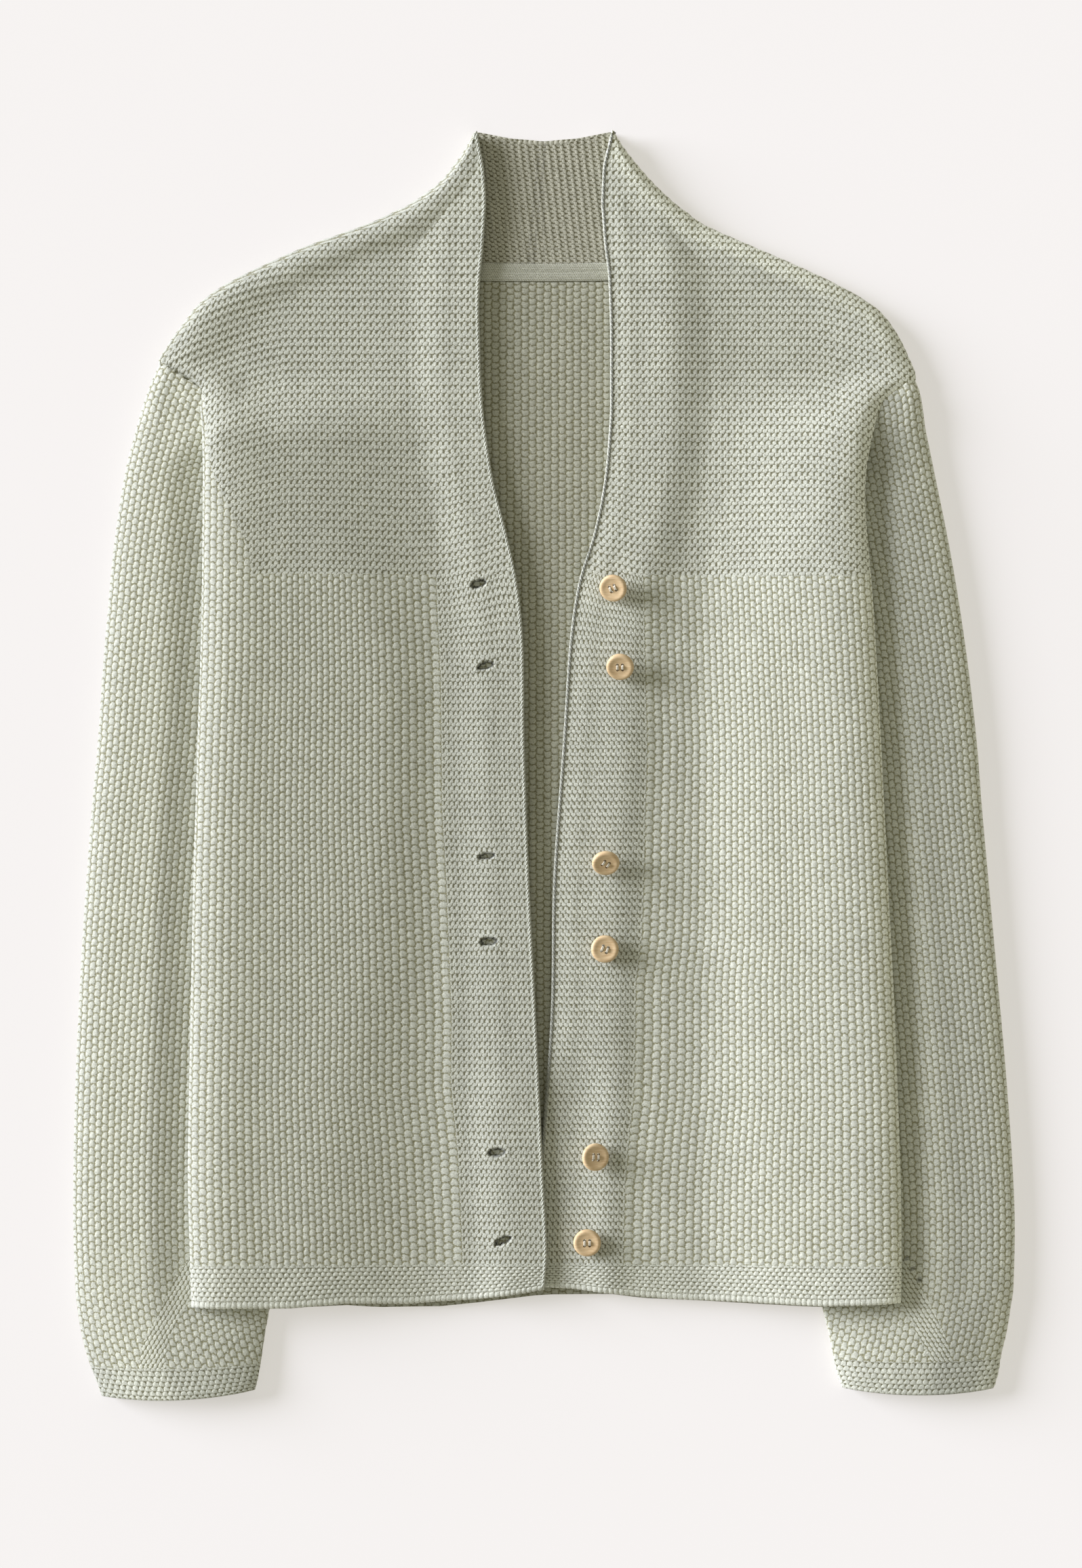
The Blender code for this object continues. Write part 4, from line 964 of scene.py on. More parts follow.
def front_cloth(side):
    """A whole front, with its band, hem and yoke in one, and the yoke's first row."""
    rows, seam = front_rows(side)
    panel = Panel(side, rows, 60)
    distances = front_distances(side, panel, seam)
    form, plan = front_form(side, panel, distances)
    x, y = plan[:, :, 0], plan[:, :, 1]
    depth, dark, bowed = 0.0, 1.0, 0.0
    if side < 0:
        depth, dark = hole_depth(form[:, :, 0], form[:, :, 1])
        bowed = hole_bow(form[:, :, 0], form[:, :, 1])
    columns = np.broadcast_to(np.arange(x.shape[1]), x.shape)
    moss_s = columns / FINE
    for row in range(seam + 1, len(rows)):
        moss_s[row] = np.interp(distances[row], distances[seam], columns[seam] / FINE)
    hem_down = np.broadcast_to((HEM_ROWS - np.arange(len(rows)))[:, None] / FINE, x.shape)
    drop = yoke_drop(side, x, y) / DROP_UNIT
    fading = smooth(1 - (YOKE_Y - y) / DROP_RUN)
    places = ((moss_s, (YOKE_Y - y) / ROW),
              (columns / FINE, (YOKE_Y - y) / ROW - drop * fading + bowed),
              (distances / HEM_WIDE, hem_down * HEM_TALL),
              (distances / CAST_WIDE, hem_down * CAST_TALL),
              (x / GARTER_WIDE, (YOKE_Y - y) / GARTER_TALL - drop + bowed))

    zone = np.full((len(rows) - 1, x.shape[1] - 1), MOSS)
    zone[:, MOSS_COLUMNS * FINE:] = BAND
    zone[:HEM_ROWS] = HEM_PART
    zone[:CAST_ROWS] = CAST
    above = zone[seam:]
    above[:] = RIDGES
    if side < 0:
        limit = MOSS_ON - MOSS_ON_LESS * smooth((y - YOKE_Y) / MOSS_ON_RUN)
        above[(moss_s < limit)[seam:-1, :-1]] = MOSS
    in_band = smooth((columns - MOSS_COLUMNS * FINE) / BAND_SOFT)
    shade = dark * front_shade(side, y, distances, in_band, fading)
    cloth = Cloth("front", form, FRONT_KINDS, places, zone, shade)
    top = cloth.raised()
    top[:, :, 2] -= depth
    return cloth, top, seam


def make_fronts():
    made = []
    for side, label in SIDES:
        cloth, top, seam = front_cloth(side)
        smooth_cloth, raised = extend(cloth, cloth.upper), extend(cloth, top).upper
        seam += TURNED_ROWS
        normals = Cloth("all", raised, (), ()).normals()[seam]
        kinds = [material_for(kind) for kind in FRONT_KINDS]
        for name, first, last, row in (("body", 0, seam, -1),
                                       ("yoke", seam, len(raised) - 1, 0)):
            own = smooth_cloth.part(f"front_{label}_{name}", first, last)
            piece = close(own, raised[first:last + 1], kinds, ((row, normals),))
            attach(piece, "root")
            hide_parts(f"front_{label}")
            made.append((piece, own.upper, label))
    return made


FRONTS = make_fronts()


# ---- sleeves ---------------------------------------------------------------------------------
SLEEVE_KINDS = ("moss", "jersey", "fine_garter", "cast")
WEDGED, CUFF, CAST_OFF = range(1, 4)   # the zones after MOSS
ARM_REACH = 72.0               # how far in from its outer fold an arm's stitches are raised
UNDER_COLUMNS, TOP_COLUMNS = 9, 84     # mesh columns before that fold and after it
PRESS_X, PRESS_Y, PRESS_REACH, PRESS_SOFT = 186.0, -318.0, 36.0, 200   # the hem's weight ends
TUCK, TUCK_Y, TUCK_RUN = 15.0, 112.0, 40.0    # how far on an arm goes under the body
COVER_Y = HEM_Y - 20.0         # above it the body covers the arm, but for SEAM_IN beside it,
SEAM_IN, SEAM_IN_MORE, SEAM_IN_Y, SEAM_IN_RUN = 2.0, 3.6, 170.0, 25.0  # and more in the armhole
CUFF_BOW, CUFF_SHIFT = 3.6, 2.0        # of the cuff's edge, at its corners and in its middle
ROUND_SHARE = 0.49             # a sleeve's widest radius, in parts of its width
WALL_ROWS = 24                 # rings of a sleeve's inner side
QUARTER = np.radians(np.linspace(0, 90, 14))
WEDGE_ANGLE, WEDGE_PITCH, WEDGE_ROW = math.radians(57.0), 2.2, 3.3
WEDGE_LIGHT = 1.08
CUFF_WIDE, CUFF_TALL = 3.5, 2.75       # one stitch and one row of the cuff
OFF_TALL, OFF_BAND = 2.4, 2.2          # a cast-off loop, and how much of it is in sight
FULL_FROM, FULL_RUN = CUFF_TOP_Y + 34.0, 30.0      # below it the stitches are raised all over
# Painted shade for each small hole: how dark, how wide, and how soft its rim.
FASHIONED_PAINTED_SHADE, FASHIONED_RADIUS, FASHIONED_RIM = 0.6, 1.9, 0.9


def sleeve_ring(cut):
    """A closed section as (offset from the outer fold, height), and where its parts start."""
    width = math.hypot(cut[2] - cut[0], cut[3] - cut[1])
    outer, inner = min(cut[4], ROUND_SHARE * width), min(cut[5], ROUND_SHARE * width)
    under = min(UNDER_ROLL, FOLD_SHARE * width)
    high, low = 0.5 * cut[6], 0.5 * cut[7]
    across = (cut[2] - cut[0]) / width
    points = [(under * (1 - math.cos(t)), high * (1 - math.sin(t))) for t in QUARTER[::-1]]
    start = len(points) - 1
    points += [(outer * (1 - math.cos(t)), high * (1 + math.sin(t))) for t in QUARTER[1:]]
    for share in np.linspace(0, 1, 40)[1:-1]:
        offset = outer + share * (width - inner - outer)
        x = abs(cut[0] + across * offset)
        press = float(smooth((x - cut[8]) / PRESS_RUN))
        points.append((offset, cut[7] + (cut[6] - cut[7]) * press))
    points += [(width - inner * (1 - math.cos(t)), low * (1 + math.sin(t)))
               for t in QUARTER[::-1]]
    end = len(points) - 1
    points += [(width - under * (1 - math.cos(t)), low * (1 - math.sin(t)))
               for t in QUARTER[1:]]
    points += [(width - under + share * (2 * under - width), 0.0)
               for share in np.linspace(0, 1, 8)[1:]]
    return np.array(points), start, end


def sleeve_grid(side, cuts, spans):
    """Points round each cut: dense columns by distance from the outer fold, then the rest."""
    grid, reach = [], []
    for cut, span in zip(cuts, spans):
        ring, start, end = sleeve_ring(cut)
        length = travel(ring)
        length -= length[start]
        dense = np.arange(-UNDER_COLUMNS, TOP_COLUMNS + 1) * min(span, length[end] + 6.0) \
            / TOP_COLUMNS
        rest = np.linspace(dense[-1], length[-1] + dense[0] - length[0], 15)[1:-1]
        places = np.concatenate((dense, rest))
        round_places = np.where(places < length[0], places - length[0] + length[-1], places)
        offset = np.interp(round_places, length, ring[:, 0])
        height = np.interp(round_places, length, ring[:, 1])
        width = math.hypot(cut[2] - cut[0], cut[3] - cut[1])
        across = np.array((cut[2] - cut[0], cut[3] - cut[1])) / width
        plan = np.array((cut[0], cut[1])) + across * offset[:, None]
        side_x = np.interp(plan[:, 1], *FRONT[side][:16, [1, 0]].T)
        armhole = smooth((plan[:, 1] - SEAM_IN_Y) / SEAM_IN_RUN)
        bare_from = np.abs(side_x) - (SEAM_IN + SEAM_IN_MORE * armhole)
        covered = (np.abs(plan[:, 0]) < bare_from) & (plan[:, 1] > COVER_Y)
        room = np.maximum(lift(plan[:, 0], plan[:, 1]) - 0.5, 1.2)
        height = np.where(covered, np.minimum(height, room), height)
        grid.append(np.concatenate((plan, height[:, None]), axis=1))
        reach.append(places)
    return np.array(grid), np.array(reach)


def in_wedge(side, x, y):
    px, py = x / PX + CENTRE_X, CENTRE_Y - y / PX
    bounds = []
    for line in WEDGE[side]:
        points = sorted((p[1], p[0]) for p in line)
        bounds.append(np.interp(py, *zip(*points)))
    low, high = np.minimum(*bounds), np.maximum(*bounds)
    top = min(p[1] for p in WEDGE[side][1])
    return (px > low) & (px < high) & (py > top - 30)


def wedge_place(side, x, y):
    """Columns that run up the wedge, at a slant."""
    along = (-side * math.cos(WEDGE_ANGLE), math.sin(WEDGE_ANGLE))
    return ((x * along[1] - y * along[0]) / WEDGE_PITCH,
            (x * along[0] + y * along[1]) / WEDGE_ROW)


def tube(name, grid, cuts, places, zone, shade, finishes):
    """A sleeve with a real wall, open at the cuff and where it is sewn in."""
    rows, columns = grid.shape[:2]
    across = np.roll(grid, -1, axis=1) - np.roll(grid, 1, axis=1)
    normal = np.cross(across, np.gradient(grid, axis=0))
    normal /= np.maximum(np.linalg.norm(normal, axis=2, keepdims=True), 1e-9)
    high = np.argmax(grid[rows // 2, :, 2])
    facing = np.sign(normal[rows // 2, high, 2])
    height = stitch_height(SLEEVE_KINDS, places, zone) * np.clip(grid[:, :, 2] / 2.0, 0.0, 1.0)
    points = grid + normal * facing * height[:, :, None]
    points[:, :, 2] = np.maximum(points[:, :, 2], 0.0)

    rings = np.unique(np.linspace(0, rows - 1, WALL_ROWS).astype(int))
    inner = grid[rings].copy()
    for ring, cut in zip(inner, cuts[rings]):
        middle = np.array((cut[0] + cut[2], cut[1] + cut[3])) / 2
        width = math.hypot(cut[2] - cut[0], cut[3] - cut[1])
        ring[:, :2] = middle + (ring[:, :2] - middle) * (1 - 2 * WALL / width)
        ring[:, 2] = WALL + ring[:, 2] * (1 - 2 * WALL / max(ring[:, 2].max(), SLEEVE_LIFT))
    count = rows * columns
    outside = np.arange(count).reshape(rows, columns)
    inside = count + np.arange(inner.shape[0] * columns).reshape(-1, columns)

    def between_rings(low, high):
        low, high = np.atleast_2d(low), np.atleast_2d(high)
        return np.stack((low, np.roll(low, -1, axis=1), np.roll(high, -1, axis=1), high),
                        axis=-1).reshape(-1, 4)

    quads = between_rings(outside[:-1], outside[1:])
    hidden = np.concatenate((between_rings(inside[1:], inside[:-1]),
                             between_rings(inside[0], outside[0]),
                             between_rings(outside[-1], inside[-1])))
    faces = np.concatenate((quads, hidden))
    if facing < 0:
        faces = faces[:, ::-1]
    mesh = raw_mesh(name, np.concatenate((points.reshape(-1, 3), inner.reshape(-1, 3))) * MM,
                    faces.ravel(), np.full(len(faces), 4))
    kinds = zone[:-1].ravel()
    knit = np.full((faces.size, 3), 0.5)       # what it is on the inner side isn't seen
    knit[:quads.size] = corner_places(places, shade, faces[:len(quads)], kinds)
    dress(mesh, knit, kinds, finishes)
    return add(name, mesh)


def sleeve_shade(side, x, y, reach, zone):
    """Painted light and shade on a sleeve's yarn, a lighter wedge, and painted shade for the small
    holes beside it.
    """
    shade = read(SLEEVE_PAINTED_LIGHT[side], reach) * np.where(zone == WEDGED, WEDGE_LIGHT, 1.0)
    for px, py in FASHIONED[side]:
        away = np.hypot(x - (px - CENTRE_X) * PX, y - (CENTRE_Y - py) * PX)
        shade *= 1 - FASHIONED_PAINTED_SHADE * smooth((FASHIONED_RADIUS - away) / FASHIONED_RIM)
    return shade


def make_sleeves():
    for side, label in SIDES:
        table = SLEEVE[side]
        top_y, end_y = table[0, 1], table[-1, 1]
        heights = np.linspace(top_y, end_y, round((top_y - end_y) / (SLEEVE_BUMP / FINE)) + 1)
        cuts = rows_where(table, 1, heights)
        cuts[:, 1] = heights
        cuts[:, 2] -= side * TUCK * smooth((heights - TUCK_Y) / TUCK_RUN)
        full = np.hypot(cuts[:, 2] - cuts[:, 0], cuts[:, 3] - cuts[:, 1]) + 14.0
        spans = ARM_REACH + (full - ARM_REACH) * smooth((FULL_FROM - heights) / FULL_RUN)
        grid, reach = sleeve_grid(side, cuts, spans)
        share = np.clip((CUFF_TOP_Y - heights) / (CUFF_TOP_Y - end_y), 0, 1)[:, None]
        off = np.clip((grid[:, :, 0] - 0.5 * (cuts[:, 0] + cuts[:, 2])[:, None])
                      / (0.5 * np.abs(cuts[:, 2] - cuts[:, 0]))[:, None], -1, 1)
        grid[:, :, 1] += (CUFF_BOW * off ** 2 - CUFF_SHIFT) * share ** 2

        weight = near(grid, side * PRESS_X, PRESS_Y, PRESS_REACH) * (grid[:, :, 2] > 6.0)
        grid = softened(grid, weight, PRESS_SOFT)
        x, y = grid[:, :, 0], grid[:, :, 1]
        row = np.broadcast_to((top_y - heights)[:, None], x.shape)
        places = ((reach / SLEEVE_PITCH, row / SLEEVE_BUMP), wedge_place(side, x, y),
                  (reach / CUFF_WIDE, row / CUFF_TALL), (reach / CAST_WIDE, row / OFF_TALL))
        zone = np.full(x.shape, MOSS)
        zone[in_wedge(side, x, y) & (reach > 0)] = WEDGED
        zone[top_y - row < end_y + CUFF_BAND] = CUFF
        zone[top_y - row < end_y + OFF_BAND] = CAST_OFF
        shade = sleeve_shade(side, x, y, reach, zone)
        finishes = [material_for(kind, "sleeve") for kind in SLEEVE_KINDS]
        piece = tube(f"sleeve_{label}_knit", grid, cuts, places, zone, shade, finishes)
        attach(piece, "root")
        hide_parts(f"sleeve_{label}")
        declare(np.concatenate((grid, grid[:, :1]), axis=1))


make_sleeves()


# ---- the back --------------------------------------------------------------------------------
BACK_TURNS = np.radians(np.array((-40.8, -50.0, -60.0, -70.0, -80.0, -90.0)))
LEAST_ROLL = 0.4               # a fold's inner radius, in parts of its outer one
BACK_COLUMNS, BACK_MIDDLE, WING_COLUMNS = 22, 10, 14   # of a half, its middle and a wing
# What shows between the fronts: its name, lowest and highest y, and lowest and highest x.
PATCHES = (("back_inside_high", 96.0, 272.4, -42.0, 42.0),
           ("back_inside_low", -200.0, 96.4, -26.0, 30.0))
PATCH_RISE, PATCH_DEPTH = 0.55, 1.0    # over and under the back's inner side
PATCH_SINK, PATCH_RIM = 0.9, 2.0       # how far its rim dips in, and how wide it is


def neck_line(side, place):
    """Where a back row meets the line from the neck seam's end up to the shoulder."""
    rise = np.clip((place - NECK_ROW) / (LAST_WING_ROW + 1 - NECK_ROW), 0, 1)
    return np.array((side * (NECK_X + rise * (SHOULDER_NECK[0] - NECK_X)),
                     NECK_Y + rise * (SHOULDER_NECK[1] - NECK_Y)))


def round_under(panel, i):
    """Row i of a panel from its seam to under its fold: the wall's inner and outer line."""
    roll = panel.roll[i]
    walls = ((max(roll - WALL, LEAST_ROLL * roll), FOLD_HALF - WALL), (roll, FOLD_HALF))
    return [[(*(panel.line[i] + panel.into[i] * (roll - radius * math.cos(turn))),
              panel.low[i] + FOLD_HALF + half * math.sin(turn)) for turn in BACK_TURNS]
            for radius, half in walls]


def back_half(side, places, columns):
    """One half of the back: upper and lower points from its seam to the neck line."""
    rows = through(FRONT[side], places)
    panel = Panel(side, rows)
    upper, lower = [], []
    for i, place in enumerate(places):
        over, under = round_under(panel, i)
        start = panel.top[i]
        if place < NECK_ROW:
            end = np.array((side * NECK_X, 0.0))
            share = (end[0] - rows[i, 0]) / (rows[i, 2] - rows[i, 0])
            end[1] = rows[i, 1] + share * (rows[i, 3] - rows[i, 1])
        else:
            end = neck_line(side, place)
        for share in np.linspace(0, 1, columns + 1)[1:]:
            plan = start + (end - start) * share
            if place < 1:
                hem = read(HEM_BACK, plan[0])
                straight = rows[0, 1] + (rows[0, 3] - rows[0, 1]) * (
                    (plan[0] - rows[0, 0]) / (rows[0, 2] - rows[0, 0]))
                plan[1] += (hem - straight) * (1 - place)
            height = float(lift(plan[0], plan[1]))
            under.append((*plan, height))
            over.append((*plan, height + WALL))
        upper.append(over)
        lower.append(under)
    return np.array(upper), np.array(lower)


def shell(name, upper, lower, finish):
    """A closed wall between two grids of the same size."""
    places = ((upper[:, :, 0] / BACK_PITCH, upper[:, :, 1] / BACK_BUMP),)
    return Cloth(name, upper, ("moss",), places).build(upper, lower, (1, 1), [finish])


def joined(name, parts):
    """One object from several, with their meshes and materials kept."""
    bpy.ops.object.select_all(action="DESELECT")
    for part in parts:
        part.select_set(True)
    bpy.context.view_layer.objects.active = parts[0]
    bpy.ops.object.join()
    parts[0].name = name
    return parts[0]


def stitch_marks(low, high, pitch):
    """Places of the mesh from low to high, at whole parts of a stitch."""
    return np.arange(math.floor(low / pitch * FINE), math.ceil(high / pitch * FINE) + 1) \
        * (pitch / FINE)


def inside_patch(name, y_low, y_high, x_low, x_high, finish):
    """The back's inner side where the fronts leave it bare, with its stitches raised."""
    xs, ys = stitch_marks(x_low, x_high, BACK_PITCH), stitch_marks(y_low, y_high, BACK_BUMP)
    x, y = np.meshgrid(xs, ys)
    z = lift(x, y) + WALL + PATCH_RISE
    rim = np.minimum(np.minimum(x - xs[0], xs[-1] - x), np.minimum(y - ys[0], ys[-1] - y))
    z = z - PATCH_SINK * (1 - smooth(rim / PATCH_RIM))
    upper = np.stack((x, y, z), axis=2)
    cloth = Cloth(name, upper, ("moss",), ((x / BACK_PITCH, y / BACK_BUMP),))
    lower = upper.copy()
    lower[:, :, 2] = lift(x, y) + WALL - PATCH_DEPTH
    return cloth.build(cloth.raised(), lower, (12, 8), [finish])


def make_back():
    finish = material_for("moss", "back")
    places = np.concatenate((np.linspace(0, 8, 60), np.linspace(8, NECK_ROW, 40)[1:]))
    halves = [back_half(side, places, BACK_COLUMNS) for side in (-1, 1)]
    bowed = np.clip(1 - places, 0, 1)[:, None]
    grids = []
    for right, left in zip(*halves):
        start, end = right[:, -1], left[:, -1]
        middle = np.stack([start + (end - start) * share
                           for share in np.linspace(0, 1, BACK_MIDDLE)[1:-1]], axis=1)
        plan_x = middle[:, :, 0]
        straight = start[:1, 1:2] + (end[:1, 1:2] - start[:1, 1:2]) * (
            (plan_x - start[:1, 0:1]) / (end[:1, 0:1] - start[:1, 0:1]))
        middle[:, :, 1] += (read(HEM_BACK, plan_x) - straight) * bowed
        grids.append(np.concatenate((right, middle, left[:, ::-1]), axis=1))
    parts = [shell("back_main", grids[0], grids[1], finish)]
    wing_places = np.linspace(NECK_ROW, LAST_WING_ROW, 14)
    for side in (-1, 1):
        upper, lower = back_half(side, wing_places, WING_COLUMNS)
        parts.append(shell("back_wing", upper, lower, finish))
    parts += [inside_patch(*patch, finish) for patch in PATCHES]
    back = joined("back_panel", parts)
    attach(back, "root")
    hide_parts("back")
    declare(grids[1])


make_back()


# ---- collar and tape ---------------------------------------------------------------------------
MIDDLE_SEAM_X = -1.0           # of the collar, at its top
COLLAR_PITCH, COLLAR_WIDE = 2.66, 3.97       # between two of its ridges, and two of its loops
COLLAR_LEAN = 0.12             # how far its loops lean, for each millimetre up
COLLAR_CAST_ROWS, OFF_WIDE = 3, 2.9    # its cast-off edge: mesh rows, and a loop's width
SEAM_DARK = 0.45               # of the stitches beside its middle seam


def collar_grids(side):
    """The collar's upper and lower points, from under its fold to its middle seam."""
    part = np.linspace(0, 1, 90)
    places = LAST_WING_ROW + 1 + part * (len(FRONT[side]) - 2 - LAST_WING_ROW)
    panel = Panel(side, through(FRONT[side], places))
    seam_x, seam_low = side * 0.02, NECK_Y + SEAM_GAP
    upper, lower = [], []
    for i in range(len(places)):
        over, under = round_under(panel, i)
        start = panel.top[i]
        seam_y = seam_low + part[i] * (COLLAR_TOP[0][1] - seam_low)
        for share in np.linspace(0, 1, 57)[1:]:
            x = start[0] + share * (seam_x - start[0])
            straight = start[1] + share * (seam_y - start[1])
            slope = np.clip((abs(x) - NECK_X) / (SHOULDER_NECK[0] - NECK_X), 0, 1)
            foot = seam_low + slope * (SHOULDER_NECK[1] + WING_GAP - NECK_Y)
            top = read(COLLAR_TOP, abs(x)) - (start[1] + share * (COLLAR_TOP[0][1] - start[1]))
            bend = (1 - part[i]) ** 2 * (foot - straight) + part[i] ** 3 * top
            y = straight + bend if share < 1 else seam_y
            over.append((x, y, WALL))
            under.append((x, y, 0.0))
        upper.append(over)
        lower.append(under)
    return np.array(upper), np.array(lower)


def make_collars():
    for side, label in SIDES:
        upper, lower = collar_grids(side)
        x, y = upper[:, :, 0], upper[:, :, 1]
        lean = x + (y - 300.0) * COLLAR_LEAN
        from_seam = np.abs(x - (MIDDLE_SEAM_X - 0.1 * (345.0 - y)))
        dash = smooth(4.0 * np.abs(fract(y / COLLAR_PITCH) - 0.5) - 0.4)
        shade = 1.0 - SEAM_DARK * dash * np.exp(-((from_seam - 1.5) / 0.7) ** 2)
        places = ((y / COLLAR_PITCH, lean / COLLAR_WIDE), (x / OFF_WIDE, y / CAST_WIDE))
        cloth = Cloth(f"collar_{label}_inside", upper, ("garter", "cast"), places, shade=shade)
        cloth.zone[-COLLAR_CAST_ROWS:] = 1
        seam = (slice(None), -1)
        normals = cloth.normals()[seam] * (0.0, 1.0, 1.0)
        finish = [material_for("garter", "collar"), material_for("cast", "collar")]
        piece = cloth.build(cloth.raised(), lower, (8, 6), finish, ((seam, normals),))
        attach(piece, "root")
        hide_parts(f"collar_{label}")
        declare(upper)


def make_tape():
    base = WALL + SEAM_GAP
    xs = np.linspace(-TAPE_HALF_LENGTH, TAPE_HALF_LENGTH, 200)
    x, o = np.meshgrid(xs, np.linspace(-0.5, 0.5, 28))
    y = NECK_Y + TAPE_BOW * x * x + o * TAPE_WIDTH
    crown = TAPE_THICK * (1 - 0.5 * np.abs(2 * o) ** 6)
    seam = TAPE_SEAM * np.exp(-((o - 0.02) / 0.04) ** 2)
    upper = np.stack((x, y, base + crown - seam), axis=2)
    cloth = Cloth("neck_tape_rib", upper, ("rib",), ((x / 1.25 + y / 2.2, y / 0.95),))
    lower = upper.copy()
    lower[:, :, 2] = base
    piece = cloth.build(cloth.raised(), lower, (9, 20), [material_for("rib", "tape")])
    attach(piece, "root")
    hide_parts("neck_tape")
    declare(upper)


make_collars()
make_tape()


# ---- chain edges -------------------------------------------------------------------------------
# Painted shade on the chain loops, darker on the left front's edge, which faces the light.
CHAIN_PAINTED_SHADE = {-1: 0.80, 1: 0.48}
CHAIN_PITCH, CHAIN_IN = 2.3, 1.3       # between two loops, and from their line to the edge
CHAIN_SHORT, CHAIN_END = 1.15, 2.0     # left out above, in rows of the table; at both ends
# Its two strands: how far out, how slanted, how high and how far along they lie.
STRANDS = ((0.15, 0.42, -0.15, 0.5 * CHAIN_PITCH), (-0.55, 0.42, -0.75, 0.0))
LOOP_LENGTH, LOOP_RADIUS = 2.2, 0.68   # half its length, and its radius in the middle
LOOP_SIDES, LOOP_RINGS = 5, 4
LOOP_WIDE, LOOP_TALL = 1.6, 8.0        # one stitch of the material on a loop


def loops_mesh(name, centres, directions, finish, tone):
    """Many small loops of yarn, each a bent bean, joined in one mesh."""
    around, along = LOOP_SIDES, LOOP_RINGS
    turns = np.linspace(0, 2 * math.pi, around, endpoint=False)
    marks = np.linspace(-1, 1, along + 2)[1:-1]
    count = len(centres)
    sides = unit(np.cross(directions, (0.0, 0.0, 1.0)))
    ups = unit(np.cross(sides, directions))
    rings = [centres + directions * (LOOP_LENGTH * mark)
             + (sides * math.cos(turn) + ups * math.sin(turn)) * (LOOP_RADIUS * wide)
             for mark, wide in zip(marks, np.sqrt(1 - marks ** 2)) for turn in turns]
    tips = [centres - directions * LOOP_LENGTH, centres + directions * LOOP_LENGTH]
    points = np.stack(rings + tips, axis=1).reshape(-1, 3)
    size = along * around + 2
    faces = []
    for ring in range(along - 1):
        for step in range(around):
            a, b = ring * around + step, ring * around + (step + 1) % around
            faces += [(a, b, b + around), (a, b + around, a + around)]
    for step in range(around):
        faces.append((size - 2, (step + 1) % around, step))
        last = (along - 1) * around
        faces.append((size - 1, last + step, last + (step + 1) % around))
    faces = np.array(faces)
    corners = (faces[None] + np.arange(count)[:, None, None] * size).ravel()
    mesh = raw_mesh(name, points * MM, corners, np.full(count * len(faces), 3))
    which = np.repeat(np.arange(count), len(faces) * 3)
    local = points[corners] - centres[which]
    knit = np.stack(((local * sides[which]).sum(1) / LOOP_WIDE + 0.5,
                     (local * directions[which]).sum(1) / LOOP_TALL + 0.5,
                     np.full(len(which), tone)), axis=1)
    dress(mesh, knit, (), [finish])
    return add(name, mesh)


def edge_path(side, places):
    """The free edge's top line at fractional rows, from the hem to the peak."""
    panel = Panel(side, through(FRONT[side], places))
    distance = (panel.length - CHAIN_IN)[:, None]
    form, _ = panel.at(distance)
    return panel.settle(form, distance)[:, 0]


def make_chain(side, label):
    path = edge_path(side, np.linspace(0.0, len(FRONT[side]) - CHAIN_SHORT, 3000))
    length = travel(path)
    marks = np.arange(CHAIN_END, length[-1] - CHAIN_END, CHAIN_PITCH)
    centre, ahead = (np.stack([np.interp(along, length, path[:, k]) for k in range(3)], axis=1)
                     for along in (marks, marks + 1.0))
    run, up = unit(ahead - centre), np.array((0.0, 0.0, 1.0))
    out = np.cross(run, up)
    out *= np.sign(out[:, :1] * -side)
    centres, directions = [], []
    for offset, slant, height, shift in STRANDS:
        directions.append(unit(run + out * slant))
        centres.append(centre + out * offset + up * height + run * shift)
    piece = loops_mesh(f"edge_chain_{label}", np.concatenate(centres),
                       np.concatenate(directions), material_for("cast"), CHAIN_PAINTED_SHADE[side])
    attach(piece, "root")
    return piece


CHAINS = {label: make_chain(side, label) for side, label in SIDES}
for front, form, label in FRONTS:
    declare(form)


# ---- buttons -----------------------------------------------------------------------------------
def button_finish(number):
    """Pale wood, with its grain turned another way on each button."""
    made, tree, shader, place = new_material(f"button_{number}_wood", {
        "Roughness": 0.55, "Specular IOR Level": 0.35})
    turned = node(tree, "ShaderNodeMapping", {
        0: place, "Location": (0.013 * number, 0.02 * number, 0.0),
        "Rotation": (0.3, 0.2, 0.7 * number), "Scale": (1.0, 6.0, 1.0)})
    grain = Field(tree, noise(tree, turned.outputs[0], 240.0, 4.0)[0])
    blend = grain * 0.7 + Field(tree, noise(tree, place, 160.0)[0]) * 0.3
    feed(tree, shader.inputs["Base Color"],
         two_colours(tree, blend, (0.57, 0.395, 0.200), (0.72, 0.550, 0.315), (0.36, 0.66)))
    bump(tree, shader, blend, 0.25, 0.05)
    return made


def thread_finish():
    made, tree, shader, place = new_material("button_thread", {"Roughness": 0.7})
    wave = node(tree, "ShaderNodeTexWave", {"Vector": place, "Scale": 900.0})
    feed(tree, shader.inputs["Base Color"],
         two_colours(tree, wave.outputs[1], (0.52, 0.47, 0.35), (0.78, 0.74, 0.60)))
    return made


# A button's half section from its dish to its foot, in parts of its radius and thickness.
BUTTON_PROFILE = ((0.0, 0.84), (0.28, 0.84), (0.44, 0.85), (0.56, 0.88), (0.66, 0.93),
                  (0.74, 0.97), (0.81, 0.98), (0.88, 0.95), (0.93, 0.88), (0.97, 0.77),
                  (0.99, 0.64), (1.0, 0.50), (0.985, 0.34), (0.93, 0.17), (0.82, 0.06),
                  (0.66, 0.0), (0.0, 0.0))
DISH = 0.84                    # how high the dish lies, in parts of the thickness
STRAND_GAP, STRAND_RADIUS = 0.56, 0.36       # of the doubled thread
BAR_DEPTH, BAR_OVER = 1.4, 0.42              # how deep its ends lie, and how high its middle
SHANK_RADIUS, SHANK_OUT = 0.45, 0.8          # of one strand, and from the button's middle
FAR_OFF = 400.0                # from a fold, where it has no more effect
SHANK_PATH = ((2, 0.3), (0, -1.2), (0.5, -2.6), (1.5, -3.6))    # (how spread, height)


